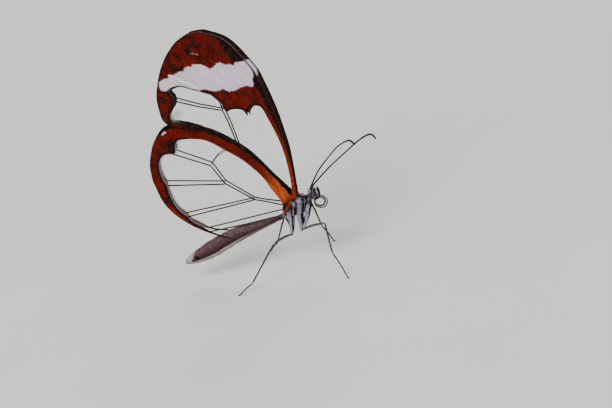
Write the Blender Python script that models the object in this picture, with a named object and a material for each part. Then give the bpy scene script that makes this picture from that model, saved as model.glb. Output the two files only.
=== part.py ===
"""A glasswing butterfly at life size, at rest with its wings closed over its back.

The head points along +X, its left side is +Y and it stands on z = 0.
Sizes below are in millimetres and become metres where a mesh is made.
"""

import math

import bpy
import bmesh
from mathutils import Matrix, Vector

MM = 0.001

# Driving dimensions, in millimetres
MIN_RADIUS = 0.25          # half of the thinnest leg, feeler or tongue
JOIN_GAP = 0.2             # thin cut left between two parts that join
WING_THICKNESS = 0.5
WING_EDGE_THICKNESS = 0.34
WING_STATIONS = 26         # cross sections from root to tip
WING_CHORD_POINTS = 5      # points across each cross section

# Wing layers, as distances from the middle plane
FOREWING_LAYER = 0.32
FOREWING_ROOT_SPREAD = 0.8
ROOT_FADE = 1.8            # how far up the wing the root's spread fades out
HINDWING_LAYER = 0.95
HINDWING_SPREAD = 0.38     # extra spread where the hind wings pass the abdomen
SPREAD_FADE = 2.6          # how far above the abdomen that spread fades out

# The left wings are swung forward a little, as they show behind the right ones
FOREWING_SWING = math.radians(1.3)
HINDWING_SWING = math.radians(2.0)

# Wing outlines in the side plane (x, z): root to tip along the front edge, then along the rear edge
FOREWING_FRONT = [
    (-0.05, 11.3), (-0.35, 17.1), (-1.05, 24.2), (-2.3, 29.9), (-4.8, 34.3), (-7.4, 36.0), (-10.0, 36.2),
]
FOREWING_REAR = [
    (-1.2, 11.2), (-3.5, 13.1), (-6.3, 16.3), (-9.7, 19.9), (-13.2, 22.2), (-15.9, 24.4),
    (-16.0, 28.0), (-14.7, 31.6), (-12.8, 34.5), (-10.0, 36.2),
]
HINDWING_FRONT = [
    (-1.7, 10.9), (-2.9, 14.1), (-6.0, 18.9), (-9.7, 22.2), (-13.4, 23.8), (-16.3, 23.4),
    (-18.3, 20.9), (-19.4, 17.0),
]
HINDWING_REAR = [
    (-2.7, 9.3), (-5.1, 7.2), (-9.1, 6.15), (-13.2, 7.3), (-16.8, 9.8), (-18.9, 13.0), (-19.4, 17.0),
]

# Body sections: distance along x, height of the centre, half height, half width
THORAX_SECTIONS = [
    (-2.72, 8.75, 0.30, 0.28), (-2.45, 8.85, 0.78, 0.62), (-1.9, 9.05, 1.22, 0.92),
    (-1.1, 9.3, 1.5, 1.08), (-0.3, 9.42, 1.52, 1.1), (0.35, 9.6, 1.32, 0.98),
    (0.75, 9.85, 0.95, 0.75), (0.98, 10.0, 0.42, 0.36),
]
ABDOMEN_SECTIONS = [
    (-3.0, 7.95, 0.28, 0.28), (-3.7, 7.7, 0.36, 0.36), (-5.2, 7.35, 0.58, 0.5), (-7.2, 6.95, 0.88, 0.68),
    (-9.2, 6.4, 1.12, 0.8), (-11.2, 5.7, 1.28, 0.95), (-13.0, 5.0, 1.33, 1.08), (-14.7, 4.35, 1.2, 1.04),
    (-16.1, 3.85, 0.9, 0.82), (-17.1, 3.5, 0.6, 0.55), (-17.7, 3.3, 0.32, 0.3),
]
BODY_SIDES = 20

# Head
HEAD_CENTRE = (1.85, 0.0, 10.62)
HEAD_HALF = (0.68, 0.6, 0.95)
EYE_RADIUS = 0.62
EYE_HALF_DEPTH = 0.38
EYE_CENTRE = (1.82, 0.73, 10.58)
TONGUE_CENTRE = (2.72, 0.0, 9.32)
TONGUE_TURN_RADIUS = 0.68
TONGUE_START = math.radians(140)
TONGUE_SWEEP = math.radians(-315)
TONGUE_STEPS = 22
PALP_PATH = [(2.62, 0.6, 10.1), (2.86, 0.58, 10.6), (2.88, 0.52, 11.1), (2.7, 0.48, 11.55)]
PALP_RADII = [0.25, 0.27, 0.28, 0.25]

# Feelers: the right one is held high and forward, the left one leans outwards
ANTENNA_RIGHT = [
    (2.05, -0.34, 11.8), (4.9, -0.93, 14.4), (7.7, -1.54, 16.6), (11.0, -2.25, 18.8), (12.4, -2.6, 18.25),
]
ANTENNA_LEFT = [(1.9, 0.34, 11.8), (3.1, 1.73, 13.13), (4.6, 3.1, 14.3), (7.05, 5.0, 15.4), (8.25, 6.0, 14.4)]
ANTENNA_STEPS = 18
ANTENNA_RADII = [0.25, 0.25, 0.25, 0.27, 0.3]

# Small folded forelegs
FORELEG_PATH = [(1.2, 0.98, 9.3), (0.75, 1.05, 8.0), (0.1, 1.08, 6.5)]
FORELEG_RADII = [0.3, 0.32, 0.25]

# Walking legs, each as hip top, hip end, knee, ankle, foot; +Y is the left side
LEGS = {
    "midleg_right": [
        (-0.45, -0.52, 7.55), (-0.55, -0.7, 5.95), (3.2, -3.2, 7.5), (3.55, -4.6, 3.5), (5.3, -6.1, 0.0),
    ],
    "hindleg_right": [
        (-1.75, -0.52, 7.4), (-2.0, -0.65, 5.5), (-4.3, -3.2, 5.6), (-8.1, -5.6, 1.2), (-10.2, -6.4, 0.0),
    ],
    "midleg_left": [
        (-0.45, 0.52, 7.55), (-0.55, 0.7, 5.95), (0.85, 3.6, 7.6), (1.3, 5.1, 3.2), (2.45, 6.35, 0.0),
    ],
    "hindleg_left": [
        (-1.75, 0.52, 7.4), (-2.0, 0.65, 5.5), (-3.2, 3.1, 6.6), (-5.5, 5.15, 1.6), (-7.0, 6.3, 0.0),
    ],
}
COXA_TOP_HALF = (0.48, 0.34)
COXA_END_RADIUS = 0.27
COXA_STEPS = 5
COXA_SIDES = 12
FEMUR_RADII = (0.26, 0.25)
TIBIA_RADII = (0.25, 0.25)
LIMB_SIDES = 10

# Colours: base colour, roughness
LOOKS = {
    "dark_scales": ((0.045, 0.03, 0.04), 0.7),
    "lilac_hair": ((0.42, 0.38, 0.45), 0.8),
    "eye_glossy": ((0.03, 0.02, 0.03), 0.2),
    "horn_black": ((0.02, 0.015, 0.015), 0.45),
    "leg_brown": ((0.2, 0.11, 0.12), 0.6),
    "wing_membrane": ((0.45, 0.16, 0.1), 0.5),
}


def make_material(name):
    colour, roughness = LOOKS[name]
    material = bpy.data.materials.new(name)
    material.use_nodes = True
    shader = material.node_tree.nodes["Principled BSDF"]
    shader.inputs["Base Color"].default_value = (*colour, 1.0)
    shader.inputs["Roughness"].default_value = roughness
    shader.inputs["Metallic"].default_value = 0.0
    material.diffuse_color = (*colour, 1.0)
    return material


def add_part(name, work_mesh, origin, material, parent):
    """Turn a bmesh in millimetres into a named object in metres with its origin at the given point."""
    work_mesh.transform(Matrix.Translation(-Vector(origin)))
    work_mesh.transform(Matrix.Scale(MM, 4))
    bmesh.ops.recalc_face_normals(work_mesh, faces=work_mesh.faces)
    mesh = bpy.data.meshes.new(name)
    work_mesh.to_mesh(mesh)
    work_mesh.free()
    mesh.materials.append(material)
    mesh.shade_smooth()
    mesh.set_sharp_from_angle(angle=math.radians(50))
    part = bpy.data.objects.new(name, mesh)
    part.location = Vector(origin) * MM
    part.parent = parent
    bpy.context.scene.collection.objects.link(part)
    return part


def smooth_point(anchors, t):
    """A point on the Catmull-Rom curve through the anchors, t from 0 to 1."""
    points = [Vector(a) for a in anchors]
    spans = len(points) - 1
    place = min(max(t, 0.0), 1.0) * spans
    index = min(int(place), spans - 1)
    u = place - index
    p1 = points[index]
    p2 = points[index + 1]
    p0 = points[index - 1] if index > 0 else 2 * p1 - p2
    p3 = points[index + 2] if index + 2 < len(points) else 2 * p2 - p1
    return 0.5 * (
        2 * p1 + (p2 - p0) * u + (2 * p0 - 5 * p1 + 4 * p2 - p3) * u**2 + (3 * p1 - p0 - 3 * p2 + p3) * u**3
    )


def even_curve(anchors, count, fine=400):
    """Points spaced evenly by length on the smooth curve through the anchors."""
    samples = [smooth_point(anchors, i / fine) for i in range(fine + 1)]
    lengths = [0.0]
    for before, after in zip(samples, samples[1:]):
        lengths.append(lengths[-1] + (after - before).length)
    curve = []
    at = 0
    for i in range(count):
        target = lengths[-1] * i / (count - 1)
        while at < fine - 1 and lengths[at + 1] < target:
            at += 1
        span = lengths[at + 1] - lengths[at]
        share = (target - lengths[at]) / span if span else 0.0
        curve.append(samples[at].lerp(samples[at + 1], min(max(share, 0.0), 1.0)))
    return curve


def bridge_rings(work_mesh, rings):
    """Join rings of equal size into one closed skin with flat ends."""
    for before, after in zip(rings, rings[1:]):
        count = len(before)
        for i in range(count):
            j = (i + 1) % count
            work_mesh.faces.new((before[i], before[j], after[j], after[i]))
    work_mesh.faces.new(list(reversed(rings[0])))
    work_mesh.faces.new(rings[-1])


def section_body(sections):
    """A body of elliptical sections that stand square to the x axis."""
    work_mesh = bmesh.new()
    rings = []
    for x, z, half_height, half_width in sections:
        ring = []
        for i in range(BODY_SIDES):
            angle = 2 * math.pi * i / BODY_SIDES
            place = (x, half_width * math.sin(angle), z + half_height * math.cos(angle))
            ring.append(work_mesh.verts.new(place))
        rings.append(ring)
    bridge_rings(work_mesh, rings)
    return work_mesh


def tube_body(points, radii, sides=LIMB_SIDES, floor_end=False):
    """A round tube along points; floor_end shears the last ring flat onto z = 0."""
    points = [Vector(p) for p in points]
    directions = []
    for i in range(len(points)):
        ahead = points[min(i + 1, len(points) - 1)]
        behind = points[max(i - 1, 0)]
        directions.append((ahead - behind).normalized())
    side = directions[0].orthogonal().normalized()
    work_mesh = bmesh.new()
    rings = []
    for i, (point, direction, radius) in enumerate(zip(points, directions, radii)):
        side = (side - direction * side.dot(direction)).normalized()
        other = direction.cross(side)
        ring = []
        for k in range(sides):
            angle = 2 * math.pi * k / sides
            place = point + radius * (math.cos(angle) * side + math.sin(angle) * other)
            if floor_end and i == len(points) - 1:
                place -= direction * (place.z / direction.z)
            ring.append(work_mesh.verts.new(place))
        rings.append(ring)
    bridge_rings(work_mesh, rings)
    return work_mesh


def ball_body(centre, half):
    work_mesh = bmesh.new()
    bmesh.ops.create_uvsphere(work_mesh, u_segments=20, v_segments=12, radius=1.0)
    work_mesh.transform(Matrix.Diagonal((*half, 1.0)))
    work_mesh.transform(Matrix.Translation(Vector(centre)))
    return work_mesh


def cut_away(part, cutter_mesh, cutter_name):
    """Cut a part by a closed bmesh in millimetres; the cutter stays as a hidden guide."""
    bmesh.ops.recalc_face_normals(cutter_mesh, faces=cutter_mesh.faces)
    cutter_mesh.transform(Matrix.Scale(MM, 4))
    mesh = bpy.data.meshes.new(cutter_name)
    cutter_mesh.to_mesh(mesh)
    cutter_mesh.free()
    cutter = bpy.data.objects.new(cutter_name, mesh)
    cutter.hide_render = True
    cutter.display_type = "WIRE"
    cutter.parent = part.parent
    bpy.context.scene.collection.objects.link(cutter)
    cut = part.modifiers.new(cutter_name, "BOOLEAN")
    cut.operation = "DIFFERENCE"
    cut.solver = "EXACT"
    cut.object = cutter


def mirror_y(points):
    return [(x, -y, z) for x, y, z in points]


def wing_body(front, rear, side, layer):
    """A thin curved plate between the two edges; layer gives its distance from the middle plane."""
    front_curve = even_curve(front, WING_STATIONS)
    rear_curve = even_curve(rear, WING_STATIONS)
    work_mesh = bmesh.new()
    faces = {}
    last = WING_CHORD_POINTS - 1
    for row in range(WING_STATIONS - 1):
        for column in range(WING_CHORD_POINTS):
            share = column / last
            spot = front_curve[row].lerp(rear_curve[row], share)
            rim = row == 0 or column in (0, last)
            half = 0.5 * (WING_EDGE_THICKNESS if rim else WING_THICKNESS)
            y = layer(spot)
            for name, offset in (("inner", -half), ("outer", half)):
                place = (spot.x, side * (y + offset), spot.y)
                faces[name, row, column] = work_mesh.verts.new(place)
    tip = front_curve[-1]
    y = layer(tip)
    for name, offset in (("inner", -1), ("outer", 1)):
        place = (tip.x, side * (y + 0.5 * offset * WING_EDGE_THICKNESS), tip.y)
        tip_vertex = work_mesh.verts.new(place)
        for column in range(WING_CHORD_POINTS):
            faces[name, WING_STATIONS - 1, column] = tip_vertex
    for name in ("inner", "outer"):
        for row in range(WING_STATIONS - 1):
            for column in range(last):
                corners = [
                    faces[name, row, column], faces[name, row, column + 1],
                    faces[name, row + 1, column + 1], faces[name, row + 1, column],
                ]
                work_mesh.faces.new(list(dict.fromkeys(corners)))
    loop = [(row, 0) for row in range(WING_STATIONS)]
    loop += [(row, last) for row in range(WING_STATIONS - 2, -1, -1)]
    loop += [(0, column) for column in range(last - 1, 0, -1)]
    for before, after in zip(loop, loop[1:] + loop[:1]):
        work_mesh.faces.new((
            faces[("inner", *before)], faces[("inner", *after)],
            faces[("outer", *after)], faces[("outer", *before)],
        ))
    bmesh.ops.triangulate(work_mesh, faces=work_mesh.faces)
    return work_mesh


def forewing_layer(spot):
    """The front wings spread apart only at their roots, on the thorax's shoulders."""
    distance = (spot - Vector(FOREWING_FRONT[0])).length
    return FOREWING_LAYER + FOREWING_ROOT_SPREAD * math.exp(-((distance / ROOT_FADE) ** 2))


def abdomen_height(x):
    """The height of the abdomen's middle line at a place along x."""
    for ahead, behind in zip(ABDOMEN_SECTIONS, ABDOMEN_SECTIONS[1:]):
        if x >= behind[0]:
            share = (x - ahead[0]) / (behind[0] - ahead[0])
            return ahead[1] + (behind[1] - ahead[1]) * share
    return ABDOMEN_SECTIONS[-1][1]


def hindwing_layer(spot):
    """The hind wings lie outside the front ones, and spread to clear the abdomen."""
    rise = spot.y - abdomen_height(spot.x)
    return HINDWING_LAYER + HINDWING_SPREAD * math.exp(-((rise / SPREAD_FADE) ** 2))


def make_wings(materials, root):
    pairs = [
        ("forewing", FOREWING_FRONT, FOREWING_REAR, forewing_layer, FOREWING_SWING),
        ("hindwing", HINDWING_FRONT, HINDWING_REAR, hindwing_layer, HINDWING_SWING),
    ]
    for name, front, rear, layer, swing in pairs:
        hinge = ((front[0][0] + rear[0][0]) / 2, 0.0, (front[0][1] + rear[0][1]) / 2)
        for side_name, side in (("right", -1), ("left", 1)):
            body = wing_body(front, rear, side, layer)
            wing = add_part(f"{name}_{side_name}", body, hinge, materials["wing_membrane"], root)
            if side > 0:
                wing.rotation_euler = (0.0, swing, 0.0)


def make_body(materials, root):
    thorax = section_body(THORAX_SECTIONS)
    add_part("thorax", thorax, (-0.9, 0.0, 9.3), materials["lilac_hair"], root)
    abdomen = section_body(ABDOMEN_SECTIONS)
    waist_x, waist_z = ABDOMEN_SECTIONS[0][:2]
    add_part("abdomen", abdomen, (waist_x, 0.0, waist_z), materials["dark_scales"], root)


def make_tongue(materials, root):
    turns = [TONGUE_START + TONGUE_SWEEP * i / TONGUE_STEPS for i in range(TONGUE_STEPS + 1)]
    centre = Vector(TONGUE_CENTRE)
    path = [centre + TONGUE_TURN_RADIUS * Vector((math.cos(a), 0.0, math.sin(a))) for a in turns]
    body = tube_body(path, [MIN_RADIUS] * len(path))
    add_part("proboscis", body, TONGUE_CENTRE, materials["horn_black"], root)


def make_head(materials, root):
    head_body = ball_body(HEAD_CENTRE, HEAD_HALF)
    head = add_part("head", head_body, (0.0, 0.0, 0.0), materials["lilac_hair"], root)
    x, y, z = EYE_CENTRE
    eye_half = Vector((EYE_RADIUS, EYE_HALF_DEPTH, EYE_RADIUS))
    clear = Vector((JOIN_GAP, JOIN_GAP, JOIN_GAP))
    for side_name, side in (("right", -1), ("left", 1)):
        centre = (x, side * y, z)
        add_part(f"eye_{side_name}", ball_body(centre, eye_half), centre, materials["eye_glossy"], root)
        cut_away(head, ball_body(centre, eye_half + clear), f"eye_socket_{side_name}")
        path = PALP_PATH if side > 0 else mirror_y(PALP_PATH)
        add_part(f"palp_{side_name}", tube_body(path, PALP_RADII), path[0], materials["dark_scales"], root)
    reach = TONGUE_TURN_RADIUS + MIN_RADIUS + JOIN_GAP
    disc = bmesh.new()
    bmesh.ops.create_cone(
        disc, cap_ends=True, segments=24, radius1=reach, radius2=reach, depth=2 * (MIN_RADIUS + JOIN_GAP)
    )
    disc.transform(Matrix.Translation(Vector(TONGUE_CENTRE)) @ Matrix.Rotation(math.pi / 2, 4, "X"))
    cut_away(head, disc, "tongue_slot")
    make_tongue(materials, root)


def make_antennae(materials, root):
    for side_name, anchors in (("right", ANTENNA_RIGHT), ("left", ANTENNA_LEFT)):
        path = even_curve(anchors, ANTENNA_STEPS)
        radii = []
        for i in range(ANTENNA_STEPS):
            place = i / (ANTENNA_STEPS - 1) * (len(ANTENNA_RADII) - 1)
            low = min(int(place), len(ANTENNA_RADII) - 2)
            radii.append(ANTENNA_RADII[low] + (ANTENNA_RADII[low + 1] - ANTENNA_RADII[low]) * (place - low))
        body = tube_body(path, radii, sides=8)
        add_part(f"antenna_{side_name}", body, path[0], materials["horn_black"], root)


def setback(before, joint, after, radius):
    """How far a tube's end stays from a bent joint, so that the two tubes don't meet."""
    half_bend = 0.5 * (before - joint).angle(after - joint)
    return radius / math.tan(half_bend) + 0.5 * JOIN_GAP / math.sin(half_bend)


def coxa_body(top, end):
    """A hip: an oval stump under the thorax that narrows to the leg."""
    work_mesh = bmesh.new()
    rings = []
    for i in range(COXA_STEPS + 1):
        share = i / COXA_STEPS
        centre = top.lerp(end, share)
        fullness = 0.65 + 0.35 * math.sin(math.pi * min(0.5, share + 0.1))
        along = (COXA_TOP_HALF[0] + (COXA_END_RADIUS - COXA_TOP_HALF[0]) * share) * fullness
        across = (COXA_TOP_HALF[1] + (COXA_END_RADIUS - COXA_TOP_HALF[1]) * share) * fullness
        ring = []
        for k in range(COXA_SIDES):
            angle = 2 * math.pi * k / COXA_SIDES
            place = centre + Vector((along * math.cos(angle), across * math.sin(angle), 0.0))
            ring.append(work_mesh.verts.new(place))
        rings.append(ring)
    bridge_rings(work_mesh, rings)
    return work_mesh


def make_legs(materials, root):
    for leg_name, joints in LEGS.items():
        hip_top, hip_end, knee, ankle, foot = [Vector(p) for p in joints]
        add_part(f"{leg_name}_coxa", coxa_body(hip_top, hip_end), hip_top, materials["lilac_hair"], root)
        chain = [
            ("femur", hip_end, knee, FEMUR_RADII, setback(hip_top, hip_end, knee, COXA_END_RADIUS),
             setback(hip_end, knee, ankle, MIN_RADIUS)),
            ("tibia", knee, ankle, TIBIA_RADII, setback(hip_end, knee, ankle, MIN_RADIUS),
             setback(knee, ankle, foot, MIN_RADIUS)),
            ("tarsus", ankle, foot, (MIN_RADIUS, MIN_RADIUS), setback(knee, ankle, foot, MIN_RADIUS), 0.0),
        ]
        for segment, start, end, radii, start_setback, end_setback in chain:
            direction = (end - start).normalized()
            first = start + direction * start_setback
            last = end - direction * end_setback
            body = tube_body([first, last], radii, floor_end=segment == "tarsus")
            add_part(f"{leg_name}_{segment}", body, first, materials["leg_brown"], root)
    for side_name, path in (("right", mirror_y(FORELEG_PATH)), ("left", FORELEG_PATH)):
        body = tube_body(path, FORELEG_RADII)
        add_part(f"foreleg_{side_name}", body, path[0], materials["lilac_hair"], root)


def centre_on_origin(root):
    """Move the whole model so that the middle of its outline from above is at the origin."""
    bpy.context.view_layer.update()
    corners = [part.matrix_world @ Vector(corner) for part in root.children for corner in part.bound_box]
    for axis in (0, 1):
        places = [corner[axis] for corner in corners]
        root.location[axis] = -(min(places) + max(places)) / 2


def main():
    for old in list(bpy.data.objects):
        bpy.data.objects.remove(old, do_unlink=True)
    root = bpy.data.objects.new("butterfly", None)
    bpy.context.scene.collection.objects.link(root)
    materials = {name: make_material(name) for name in LOOKS}
    make_body(materials, root)
    make_head(materials, root)
    make_antennae(materials, root)
    make_wings(materials, root)
    make_legs(materials, root)
    centre_on_origin(root)


main()
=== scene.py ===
import math

import bpy
import numpy as np
from mathutils import Matrix, Vector


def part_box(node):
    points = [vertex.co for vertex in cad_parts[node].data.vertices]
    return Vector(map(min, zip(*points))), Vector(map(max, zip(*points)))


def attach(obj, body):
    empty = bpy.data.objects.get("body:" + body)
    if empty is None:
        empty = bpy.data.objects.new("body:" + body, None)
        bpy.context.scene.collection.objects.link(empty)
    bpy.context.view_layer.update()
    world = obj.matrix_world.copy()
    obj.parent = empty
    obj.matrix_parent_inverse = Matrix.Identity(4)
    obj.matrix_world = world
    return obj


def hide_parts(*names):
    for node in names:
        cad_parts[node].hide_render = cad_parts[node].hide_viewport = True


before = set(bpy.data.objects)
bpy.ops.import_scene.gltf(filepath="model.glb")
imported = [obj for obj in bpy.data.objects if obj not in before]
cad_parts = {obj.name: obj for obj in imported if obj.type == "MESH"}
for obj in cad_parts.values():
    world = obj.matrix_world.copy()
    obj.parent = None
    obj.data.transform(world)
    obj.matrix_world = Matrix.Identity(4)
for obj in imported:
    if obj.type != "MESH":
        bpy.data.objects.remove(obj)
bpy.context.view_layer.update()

bl_info = {
    "name": "Glasswing butterfly",
    "version": (1, 0, 0),
    "blender": (4, 5, 0),
    "location": "View3D > Sidebar > Butterfly",
    "description": "Wings, coat and finish of a life-size glasswing butterfly at rest",
    "category": "Add Mesh",
}

MM = 0.001

# Places are in millimetres from a point under the thorax; the frame says where that point stands
THORAX_BACK = -2.72
thorax_low, thorax_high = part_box("thorax")
BODY_SHIFT = np.array([
    thorax_low.x / MM - THORAX_BACK,
    (thorax_low.y + thorax_high.y) / 2 / MM,
    0.0,
])

# Camera, as the photograph was taken: turn, height and roll in degrees, distances in millimetres
CAMERA_TURN = math.radians(10)
CAMERA_HEIGHT = math.radians(24)
CAMERA_ROLL = math.radians(13)
CAMERA_PLACE = (45.23, -252.62, 123.47)
CAMERA_LENS = 120.0
CAMERA_SENSOR = 36.0

# Wing outlines in the side plane (x, z), from the root to the tip
FOREWING_FRONT = [
    (-0.3, 10.4), (-0.1, 12.5), (-0.02, 15.0), (-0.07, 17.85), (-0.35, 20.5), (-0.87, 24.2),
    (-1.65, 27.9), (-2.35, 30.3), (-4.85, 34.6), (-7.6, 36.35), (-8.8, 36.58), (-9.9, 36.5),
]
FOREWING_REAR = [
    (-1.05, 10.4), (-1.4, 11.1), (-2.9, 12.9), (-4.3, 15.1), (-6.1, 17.4), (-8.2, 19.4), (-10.0, 20.8),
    (-13.0, 22.3), (-15.7, 24.4), (-16.1, 26.6), (-16.0, 28.3), (-15.45, 30.1), (-14.65, 31.9),
    (-13.75, 33.4), (-12.65, 34.7), (-11.4, 35.78), (-9.9, 36.5),
]
HINDWING_FRONT = [
    (-0.95, 10.7), (-1.45, 12.15), (-2.7, 14.25), (-5.72, 18.6), (-9.8, 21.98), (-13.2, 23.3),
    (-15.9, 23.6), (-17.9, 22.0), (-19.2, 19.0), (-19.45, 16.4),
]
HINDWING_REAR = [
    (-2.45, 8.8), (-3.3, 8.15), (-5.0, 7.3), (-9.2, 6.2), (-13.2, 7.2), (-16.5, 9.6), (-18.6, 12.6),
    (-19.45, 16.4),
]

# Clear windows and marks of the wings
FOREWING_WINDOW = [
    (-14.1, 28.8), (-13.1, 29.2), (-12.3, 29.2), (-10.9, 28.5), (-9.7, 28.0), (-8.7, 27.6), (-8.0, 26.8),
    (-7.5, 26.1), (-7.35, 25.3), (-7.1, 24.6), (-6.6, 24.75), (-5.9, 24.8), (-5.1, 24.6), (-4.7, 24.2),
    (-4.35, 23.4), (-4.2, 24.1), (-3.6, 24.7), (-2.9, 24.8), (-2.4, 24.5), (-2.1, 23.9), (-1.75, 22.6),
    (-1.25, 20.7), (-0.88, 18.8), (-0.66, 16.9), (-0.6, 14.6), (-0.6, 13.0), (-0.78, 11.4), (-1.2, 11.62),
    (-2.15, 12.8), (-3.35, 14.5), (-5.1, 17.05), (-6.7, 19.3), (-9.3, 21.5), (-11.6, 23.15),
    (-13.9, 24.15), (-14.7, 24.4), (-14.85, 25.2), (-14.5, 25.9), (-13.9, 26.6), (-13.7, 27.3),
    (-13.7, 27.9),
]
FOREWING_WHITE = [
    (-2.91, 31.4), (-3.74, 31.18), (-4.43, 31.2), (-4.67, 30.9), (-5.57, 31.16), (-6.41, 31.5),
    (-7.06, 31.4), (-7.39, 31.08), (-7.84, 31.09), (-8.43, 31.57), (-9.22, 31.81), (-9.93, 31.83),
    (-10.26, 31.49), (-10.67, 31.67), (-11.06, 31.51), (-11.28, 31.18), (-11.91, 31.22), (-12.82, 31.0),
    (-13.29, 31.09), (-13.6, 30.69), (-14.16, 30.72), (-14.78, 30.53), (-15.12, 29.99), (-15.09, 29.23),
    (-14.6, 28.91), (-14.02, 28.96), (-13.73, 29.26), (-12.63, 29.39), (-11.69, 29.15), (-10.8, 28.74),
    (-9.9, 28.31), (-8.81, 28.12), (-7.76, 27.78), (-6.91, 27.78), (-6.0, 27.39), (-5.0, 27.44),
    (-4.11, 27.66), (-3.26, 27.66), (-2.7, 27.49), (-2.54, 28.35), (-2.28, 29.2), (-2.43, 30.12),
    (-2.71, 31.07),
]
FOREWING_VEINS = [
    [(-13.9, 27.5), (-11.0, 26.15), (-7.5, 24.9)],
    [(-7.6, 25.1), (-7.1, 22.6), (-6.65, 19.6)],
    [(-7.5, 25.0), (-7.7, 26.3), (-8.6, 27.5), (-10.0, 28.2)],
]
HINDWING_WINDOW = [
    (-14.5, 21.7), (-12.9, 21.6), (-11.3, 21.2), (-10.1, 20.5), (-8.5, 19.1), (-6.7, 17.5), (-5.4, 15.9),
    (-4.3, 14.3), (-3.5, 12.5), (-2.6, 10.9), (-2.3, 9.9), (-2.1, 9.1), (-5.0, 6.9), (-9.0, 6.2),
    (-11.5, 6.8), (-13.1, 7.5), (-14.2, 8.4), (-15.4, 9.3), (-16.0, 10.3), (-16.7, 11.1), (-17.2, 12.1),
    (-17.5, 13.3), (-17.65, 14.4), (-17.7, 15.4), (-17.95, 16.1), (-18.1, 17.0), (-18.1, 17.8),
    (-18.0, 18.7), (-17.6, 19.4), (-17.1, 19.85), (-16.4, 19.95), (-15.8, 19.85), (-15.3, 20.0),
    (-15.25, 20.6), (-15.0, 21.3),
]
HINDWING_VEINS = [
    [(-15.9, 19.95), (-11.0, 17.25), (-9.65, 14.3), (-6.1, 11.2), (-2.3, 9.9)],
    [(-9.65, 14.2), (-17.7, 15.35)],
    [(-6.1, 11.2), (-10.9, 10.7), (-16.0, 10.2)],
    [(-2.6, 8.6), (-7.9, 8.0), (-10.4, 7.75), (-13.4, 7.5)],
    [(-10.9, 17.4), (-9.8, 18.5), (-8.5, 19.1)],
]
HINDWING_BARS = [
    [(-19.6, 17.8), (-18.0, 17.5)], [(-18.9, 12.7), (-17.3, 13.2)], [(-16.2, 9.1), (-15.4, 9.8)],
]
HINDWING_SPOT = ((-16.35, 22.85), (-15.95, 23.1))
APEX_STREAK = ((-9.95, 33.65), (-8.9, 33.25))
WHITE_STREAK = ((-13.4, 31.0), (-10.1, 28.7))

# Where the wings lie: distance from the middle plane, and how the left pair is swung forward
FOREWING_LAYER = 0.1
FOREWING_ROOT_SPREAD = 0.8
FOREWING_ROOT_FADE = 2.6
HINDWING_LAYER = 0.22
HINDWING_SPREAD = 0.78
HINDWING_FADE = 1.9
FOREWING_SWING = math.radians(1.35)
HINDWING_SWING = math.radians(2.0)
LEFT_FRONT_BULGE = 0.28
FOREWING_HINGE = (-0.6, 11.0)
HINDWING_HINGE = (-1.9, 10.2)
WING_SHAPES = {
    "forewing": {
        "front": FOREWING_FRONT, "rear": FOREWING_REAR, "window": FOREWING_WINDOW,
        "veins": FOREWING_VEINS, "hinge": FOREWING_HINGE, "swing": FOREWING_SWING,
    },
    "hindwing": {
        "front": HINDWING_FRONT, "rear": HINDWING_REAR, "window": HINDWING_WINDOW,
        "veins": HINDWING_VEINS, "hinge": HINDWING_HINGE, "swing": HINDWING_SWING,
    },
}

# Rows and columns of each wing's sheet
WING_GRID = {"forewing": (230, 92), "hindwing": (180, 120)}

# How a wing's side plane lies on its bake map: lowest corner, span, and three factors that fit it in
WING_MAPS = {
    "forewing": ((-16.4, 10.0), 27.0, 0.98, 0.96, 0.8),
    "hindwing": ((-19.8, 5.8), 19.0, 0.5, 0.98, 1.0),
}

# The hind wing's last vein is finer than the others
FINE_VEIN = 4
FINE_VEIN_FACTOR = 0.65

# How far the scales stand off a wing's face, and how long and wide each blade's patch is on the bake map
SCALE_LIFT = 0.004
BAKE_PATCH = 0.003

# Seeds of the random draws
WING_SEEDS = {"forewing": 5, "hindwing": 3}
BODY_SEED = 7
LEG_SEED = 11
PALP_SEED = 3

# Body sections: distance along x, height of the centre, half height, half width, without the coat
THORAX_SECTIONS = [
    (-2.62, 8.75, 0.2, 0.18), (-2.4, 8.85, 0.66, 0.5), (-1.9, 9.05, 1.1, 0.8), (-1.1, 9.3, 1.38, 0.96),
    (-0.3, 9.42, 1.4, 0.98), (0.35, 9.6, 1.2, 0.86), (0.75, 9.85, 0.83, 0.63), (0.98, 10.0, 0.42, 0.36),
]
ABDOMEN_SECTIONS = [
    (-2.2, 8.3, 0.3, 0.3), (-3.0, 7.95, 0.34, 0.32), (-3.7, 7.72, 0.36, 0.34), (-5.2, 7.35, 0.52, 0.44),
    (-7.2, 6.95, 0.82, 0.62), (-9.2, 6.4, 1.06, 0.74), (-11.2, 5.7, 1.22, 0.89), (-13.0, 5.0, 1.27, 1.02),
    (-14.7, 4.35, 1.14, 0.98), (-16.1, 3.85, 0.84, 0.76), (-17.1, 3.5, 0.54, 0.49),
    (-17.7, 3.3, 0.26, 0.24),
]
NECK_SECTIONS = [(0.55, 9.95, 0.45, 0.4), (1.0, 10.15, 0.42, 0.38), (1.5, 10.4, 0.45, 0.4)]
HEAD_CENTRE = (1.85, 0.0, 10.66)
HEAD_HALF = (0.6, 0.6, 0.85)
EYE_CENTRE = (1.82, 0.66, 10.8)
EYE_RADIUS = 0.6
EYE_DEPTH = 0.42
PALP_PATH = [
    (2.25, 0.3, 9.9), (2.66, 0.36, 10.1), (2.8, 0.36, 10.5), (2.76, 0.34, 11.0), (2.62, 0.32, 11.5),
]
PALP_RADII = [0.08, 0.11, 0.12, 0.11, 0.05]
TONGUE_CENTRE = (2.72, 0.0, 9.32)
TONGUE_START = 150
TONGUE_TURN = 700
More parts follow.
